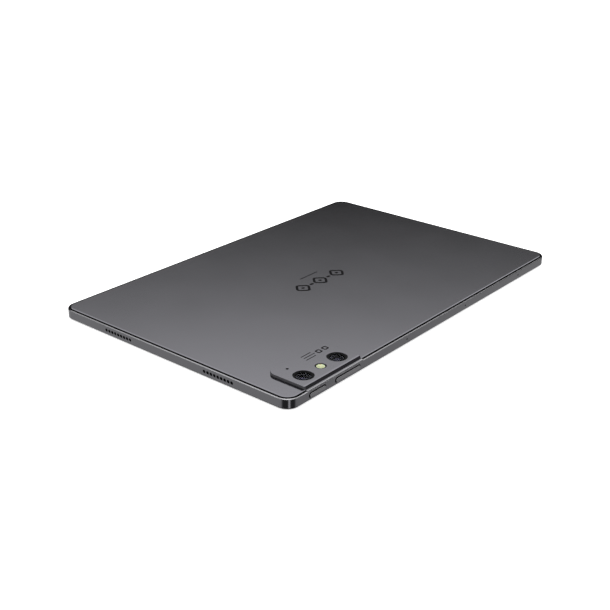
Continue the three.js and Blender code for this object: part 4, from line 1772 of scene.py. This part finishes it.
@dataclass
class Tray(Assembly):
    """The card tray: a head that closes its slot, with an eject hole, and a carrier.

    A pocket is its start, its end and half its width, from the carrier's inner end or, where
    they are below zero, from the face of the head.
    """

    head_depth: float = 1.6
    head_round: float = 0.12
    eject_radius: float = 0.4
    eject_depth: float = 2.5
    eject_offset: float = 6.9
    carrier_levels: Point = (3.25, 4.3)
    carrier_width: float = 14.4
    floor: float = 0.3
    pockets: tuple[tuple[float, float, float], ...] = ((1.4, 10.5, 6.3), (-18.6, -3.2, 5.7))
    box: NodeBox = field(default_factory=lambda: NodeBox.of("card_tray"))

    def head(self) -> None:
        """Builds the head."""
        box, face = self.box, self.box.high.y
        place = Placement.facing(Edge.FAR, box.centre.x, box.centre.z, 0.0)
        section = [(0.0, face - self.head_depth)] + rounding(0.0, face, self.head_round, 4)
        levels = [(round_ended(box.size.x, box.size.z, i), w) for i, w in section]
        made = self.dress(Shape().loft(levels, place).make("card_tray_head"), FRAME_METAL)
        middle = box.centre.x + self.eject_offset
        hole = Placement.facing(Edge.FAR, middle, box.centre.z, 0.0)
        radius = self.eject_radius
        profile = [(radius, face - self.eject_depth), (radius, face + OVERCUT)]
        carve(made, Shape().turned(profile, hole, 24), CUT_SHARP)
        self.place(made, Body.TRAY, Slot.FRAME, "card_tray")

    def carrier(self) -> None:
        """Builds the carrier with its pockets."""
        box, (low, top) = self.box, self.carrier_levels
        depth = box.size.y - self.head_depth
        plan = rounded_rectangle(self.carrier_width, depth, [1.2] * 4, 0, 5)
        place = Placement.at(box.centre.x, box.low.y + depth / 2, 0)
        carrier = Shape().loft([(plan, low), (plan, top)], place).make("card_tray_carrier")
        made = self.dress(carrier, FRAME_METAL)
        tool = Shape()
        for start, end, half in self.pockets:
            base = box.low.y if start > 0 else box.high.y
            pocket = rounded_rectangle(2 * half, end - start, [0.8] * 4, 0, 5)
            middle = Placement.at(box.centre.x, base + (start + end) / 2, 0)
            tool.loft([(pocket, low + self.floor), (pocket, top + OVERCUT)], middle)
        carve(made, tool, CUT_SHARP)
        self.place(made, Body.TRAY, Slot.FRAME)

    def build(self) -> None:
        """Builds the tray and dresses its socket."""
        self.head()
        self.carrier()
        self.repaint(RolledSheet(), "card_socket")


# ---------------------------------------------------------------- inside


@dataclass
class Inside(Assembly):
    """The sealed pieces, which keep the part's own shapes."""

    def build(self) -> None:
        """Dresses every sealed piece."""
        steel, plastic = RolledSheet(), MouldedPlastic()
        self.repaint(WovenMesh(), *(f"speaker_mesh_{i}" for i in SPEAKERS))
        self.repaint(plastic, *(f"speaker_{i}" for i in SPEAKERS))
        self.repaint(plastic, "front_camera", "light_sensor", "antenna_1", "antenna_2")
        self.repaint(steel, *(f"edge_microphone_{i}" for i in EDGE_MICROPHONES))
        self.repaint(steel, "processor_shield", "radio_shield")
        self.repaint(steel, *(f"board_screw_{i}" for i in BOARD_SCREWS))
        self.repaint(steel, "port_screw_1", "port_screw_2")
        self.repaint(RolledSheet("mid_plate_sheet", (0.62, 0.63, 0.65), 0.38), "mid_plate")
        self.repaint(RolledSheet("backlight_film", (0.8, 0.81, 0.83), 0.2), "backlight_unit")
        display = MouldedPlastic("display_film", (0.012, 0.013, 0.018), 0.15)
        self.repaint(display, "display_panel")
        graphite = MouldedPlastic("graphite_film", (0.04, 0.04, 0.043), 0.4)
        self.repaint(graphite, "heat_spreader")
        self.repaint(CircuitBoard(), "main_board", "port_board", "battery_connector")
        self.repaint(FlexFilm(), "display_flex", "link_flex")
        self.repaint(BatteryWrap(), "battery_cell_1", "battery_cell_2")


# ---------------------------------------------------------------- studio


@dataclass
class Studio:
    """A pale floor, soft light from a graded dome, and the camera.

    The ramps are pairs. The first number is a height, as the sine of the angle above the
    horizon, or a heading from the front in degrees. The second is a brightness.
    """

    azimuth: float = -50.499
    elevation: float = 23.982
    roll: float = 0.539
    lens: float = 62.01
    eye: Triple = (-503.39, -402.12, 274.43)
    floor_reach: float = 30.0
    floor_drop: float = 0.2
    full: float = 2.0
    front: float = 230.0
    sky: tuple[Point, ...] = (
        (-1.0, 0.0), (0.3, 0.0), (0.356, 0.26), (0.4, 0.53), (0.44, 0.98), (0.5, 1.55),
        (0.58, 1.7), (0.68, 2.0), (1.0, 1.7))
    ground: tuple[Point, ...] = (
        (-1.0, 0.15), (-0.62, 0.15), (-0.54, 2.0), (-0.3, 2.0), (-0.18, 0.0), (1.0, 0.0))
    flags: tuple[Point, ...] = (
        (-179.9, 0.8), (-120.0, 0.86), (-60.0, 0.84), (-46.0, 0.09), (-4.0, 0.09), (1.0, 1.6),
        (8.0, 1.6), (15.0, 0.09), (47.0, 0.09), (60.0, 0.66), (120.0, 0.68), (179.9, 0.8))
    horizon: tuple[Point, ...] = (
        (-1.0, 0.0), (-0.3, 0.0), (-0.18, 2.0), (0.15, 2.0), (0.3, 0.0), (1.0, 0.0))
    near_side: tuple[Point, ...] = (
        (-179.9, 0.02), (-120.0, 0.02), (-100.0, 0.35), (60.0, 0.35), (75.0, 0.02),
        (179.9, 0.02))
    shine: tuple[Point, ...] = (
        (-1.0, 0.0), (0.15, 0.0), (0.18, 0.15), (0.25, 0.17), (0.31, 1.8), (0.5, 1.8),
        (0.6, 0.0), (1.0, 0.0))
    shine_side: tuple[Point, ...] = (
        (-179.9, 0.0), (-125.0, 0.0), (-110.0, 0.4), (-80.0, 0.4), (-65.0, 0.0), (55.0, 0.0),
        (75.0, 1.0), (115.0, 1.0), (130.0, 0.0), (179.9, 0.0))

    def camera(self) -> None:
        """Sets the camera."""
        az, el, ro = (math.radians(a) for a in (self.azimuth, self.elevation, self.roll))
        back = Vector((math.sin(az) * math.cos(el), -math.cos(az) * math.cos(el), math.sin(el)))
        side = Vector((0, 0, 1)).cross(back).normalized()
        up = back.cross(side)
        x = side * math.cos(ro) + up * math.sin(ro)
        y = up * math.cos(ro) - side * math.sin(ro)
        data = bpy.data.cameras.new("camera")
        data.lens, data.sensor_width = self.lens, 36.0
        data.clip_start, data.clip_end = 0.01, 100.0
        made = bpy.data.objects.new("camera", data)
        turn = Matrix((x, y, back)).transposed().to_4x4()
        made.matrix_world = Matrix.Translation(Vector(self.eye) * MM) @ turn
        bpy.context.scene.collection.objects.link(made)
        bpy.context.scene.camera = made

    def floor(self) -> None:
        """Lays the floor just under the glass, out of sight of anything that reflects."""
        mesh = bpy.data.meshes.new("floor")
        r, z = self.floor_reach, -self.floor_drop * MM
        corners = [(-r, -r, z), (r, -r, z), (r, r, z), (-r, r, z)]
        mesh.from_pydata(corners, [], [(0, 1, 2, 3)])
        made = bpy.data.objects.new("floor", mesh)
        bpy.context.scene.collection.objects.link(made)
        shader = Shader("pale_floor")
        shader.set(base_color=(0.9, 0.9, 0.9), roughness=0.9, specular_ior_level=0.0,
                   emission_color=(1.0, 1.0, 1.0), emission_strength=0.55)
        made.data.materials.append(shader.material)
        made.visible_glossy = False

    def world(self) -> None:
        """Lights the scene from all round, by height above the horizon and by heading."""
        world = bpy.data.worlds.new("dome")
        bpy.context.scene.world = world
        world.use_nodes = True
        tree = world.node_tree
        direction = tree.nodes.new("ShaderNodeTexCoord").outputs["Generated"]
        height = self.dotted(tree, direction, (0.0, 0.0, 1.0))
        a = math.radians(self.front)
        ahead = self.dotted(tree, direction, (math.cos(a), math.sin(a), 0.0))
        across = self.dotted(tree, direction, (-math.sin(a), math.cos(a), 0.0))
        heading = self.combined(tree, "ARCTAN2", across, ahead)
        total = self.graded(tree, height, 1.0, self.sky)
        for heights, headings in (
            (self.ground, self.flags),
            (self.horizon, self.near_side),
            (self.shine, self.shine_side),
        ):
            turned = [(math.radians(degrees), level) for degrees, level in headings]
            light = self.combined(tree, "MULTIPLY", self.graded(tree, height, 1.0, heights),
                                  self.graded(tree, heading, math.pi, turned))
            total = self.combined(tree, "ADD", total, light)
        dome_light = tree.nodes["Background"]
        dome_light.inputs["Strength"].default_value = self.full
        tree.links.new(total, dome_light.inputs["Color"])
        plain = tree.nodes.new("ShaderNodeBackground")
        plain.inputs["Color"].default_value = (1.0, 1.0, 1.0, 1.0)
        seen = tree.nodes.new("ShaderNodeLightPath").outputs["Is Camera Ray"]
        mix = tree.nodes.new("ShaderNodeMixShader")
        for number, output in enumerate((seen, dome_light.outputs[0], plain.outputs[0])):
            tree.links.new(output, mix.inputs[number])
        tree.links.new(mix.outputs[0], tree.nodes["World Output"].inputs["Surface"])

    def dotted(self, tree: bpy.types.NodeTree, vector: Socket, axis: Triple) -> Socket:
        """The part of a vector that lies along an axis.

        Args:
            tree: The world's node tree.
            vector: The vector.
            axis: The axis, one unit long.

        Returns:
            The length of that part.
        """
        made = tree.nodes.new("ShaderNodeVectorMath")
        made.operation = "DOT_PRODUCT"
        tree.links.new(vector, made.inputs[0])
        made.inputs[1].default_value = axis
        return made.outputs["Value"]

    def combined(self, tree: bpy.types.NodeTree, operation: str, first: Socket,
                 second: Socket) -> Socket:
        """One sum on two values.

        Args:
            tree: The world's node tree.
            operation: The sum's name.
            first: The first value.
            second: The second value.

        Returns:
            The result.
        """
        made = tree.nodes.new("ShaderNodeMath")
        made.operation = operation
        tree.links.new(first, made.inputs[0])
        tree.links.new(second, made.inputs[1])
        return made.outputs[0]

    def graded(self, tree: bpy.types.NodeTree, value: Socket, reach: float,
               stops: Sequence[Point]) -> Socket:
        """A brightness along a value.

        Args:
            tree: The world's node tree.
            value: The value that picks the brightness.
            reach: The value at the end of the ramp, which starts as far below zero.
            stops: Pairs of a value and its brightness.

        Returns:
            The brightness, as a part of the full one.
        """
        carried = tree.nodes.new("ShaderNodeMapRange")
        carried.inputs["From Min"].default_value = -reach
        carried.inputs["From Max"].default_value = reach
        tree.links.new(value, carried.inputs["Value"])
        made = tree.nodes.new("ShaderNodeValToRGB")
        elements = made.color_ramp.elements
        for element, (at, level) in zip(elements, (stops[0], stops[-1])):
            element.position = (at + reach) / (2 * reach)
            element.color = (level / self.full,) * 3 + (1.0,)
        for at, level in stops[1:-1]:
            element = elements.new((at + reach) / (2 * reach))
            element.color = (level / self.full,) * 3 + (1.0,)
        tree.links.new(carried.outputs[0], made.inputs["Fac"])
        return made.outputs["Color"]

    def build(self) -> None:
        """Sets the whole studio."""
        self.camera()
        self.floor()
        self.world()
        bpy.context.scene.view_settings.view_transform = "Standard"


def main() -> None:
    """Builds the sub-assemblies in order and reports each piece."""
    logging.basicConfig(level=logging.INFO, format="%(message)s")
    parts = [
        Studio(),
        Housing(),
        CameraIsland(),
        Camera(1, Body.BARREL_1),
        Camera(2, Body.BARREL_2),
        Flash(),
        PrintedMarks(),
        SideButton("power_button", Body.POWER, (0.0,)),
        SideButton("volume_rocker", Body.VOLUME, (-7.5, 7.5)),
        ButtonWorks(),
        Port(),
        Tray(),
        Inside(),
    ]
    for part in parts:
        LOG.info("== %s", type(part).__name__)
        part.build()


if __name__ == "__main__":
    main()
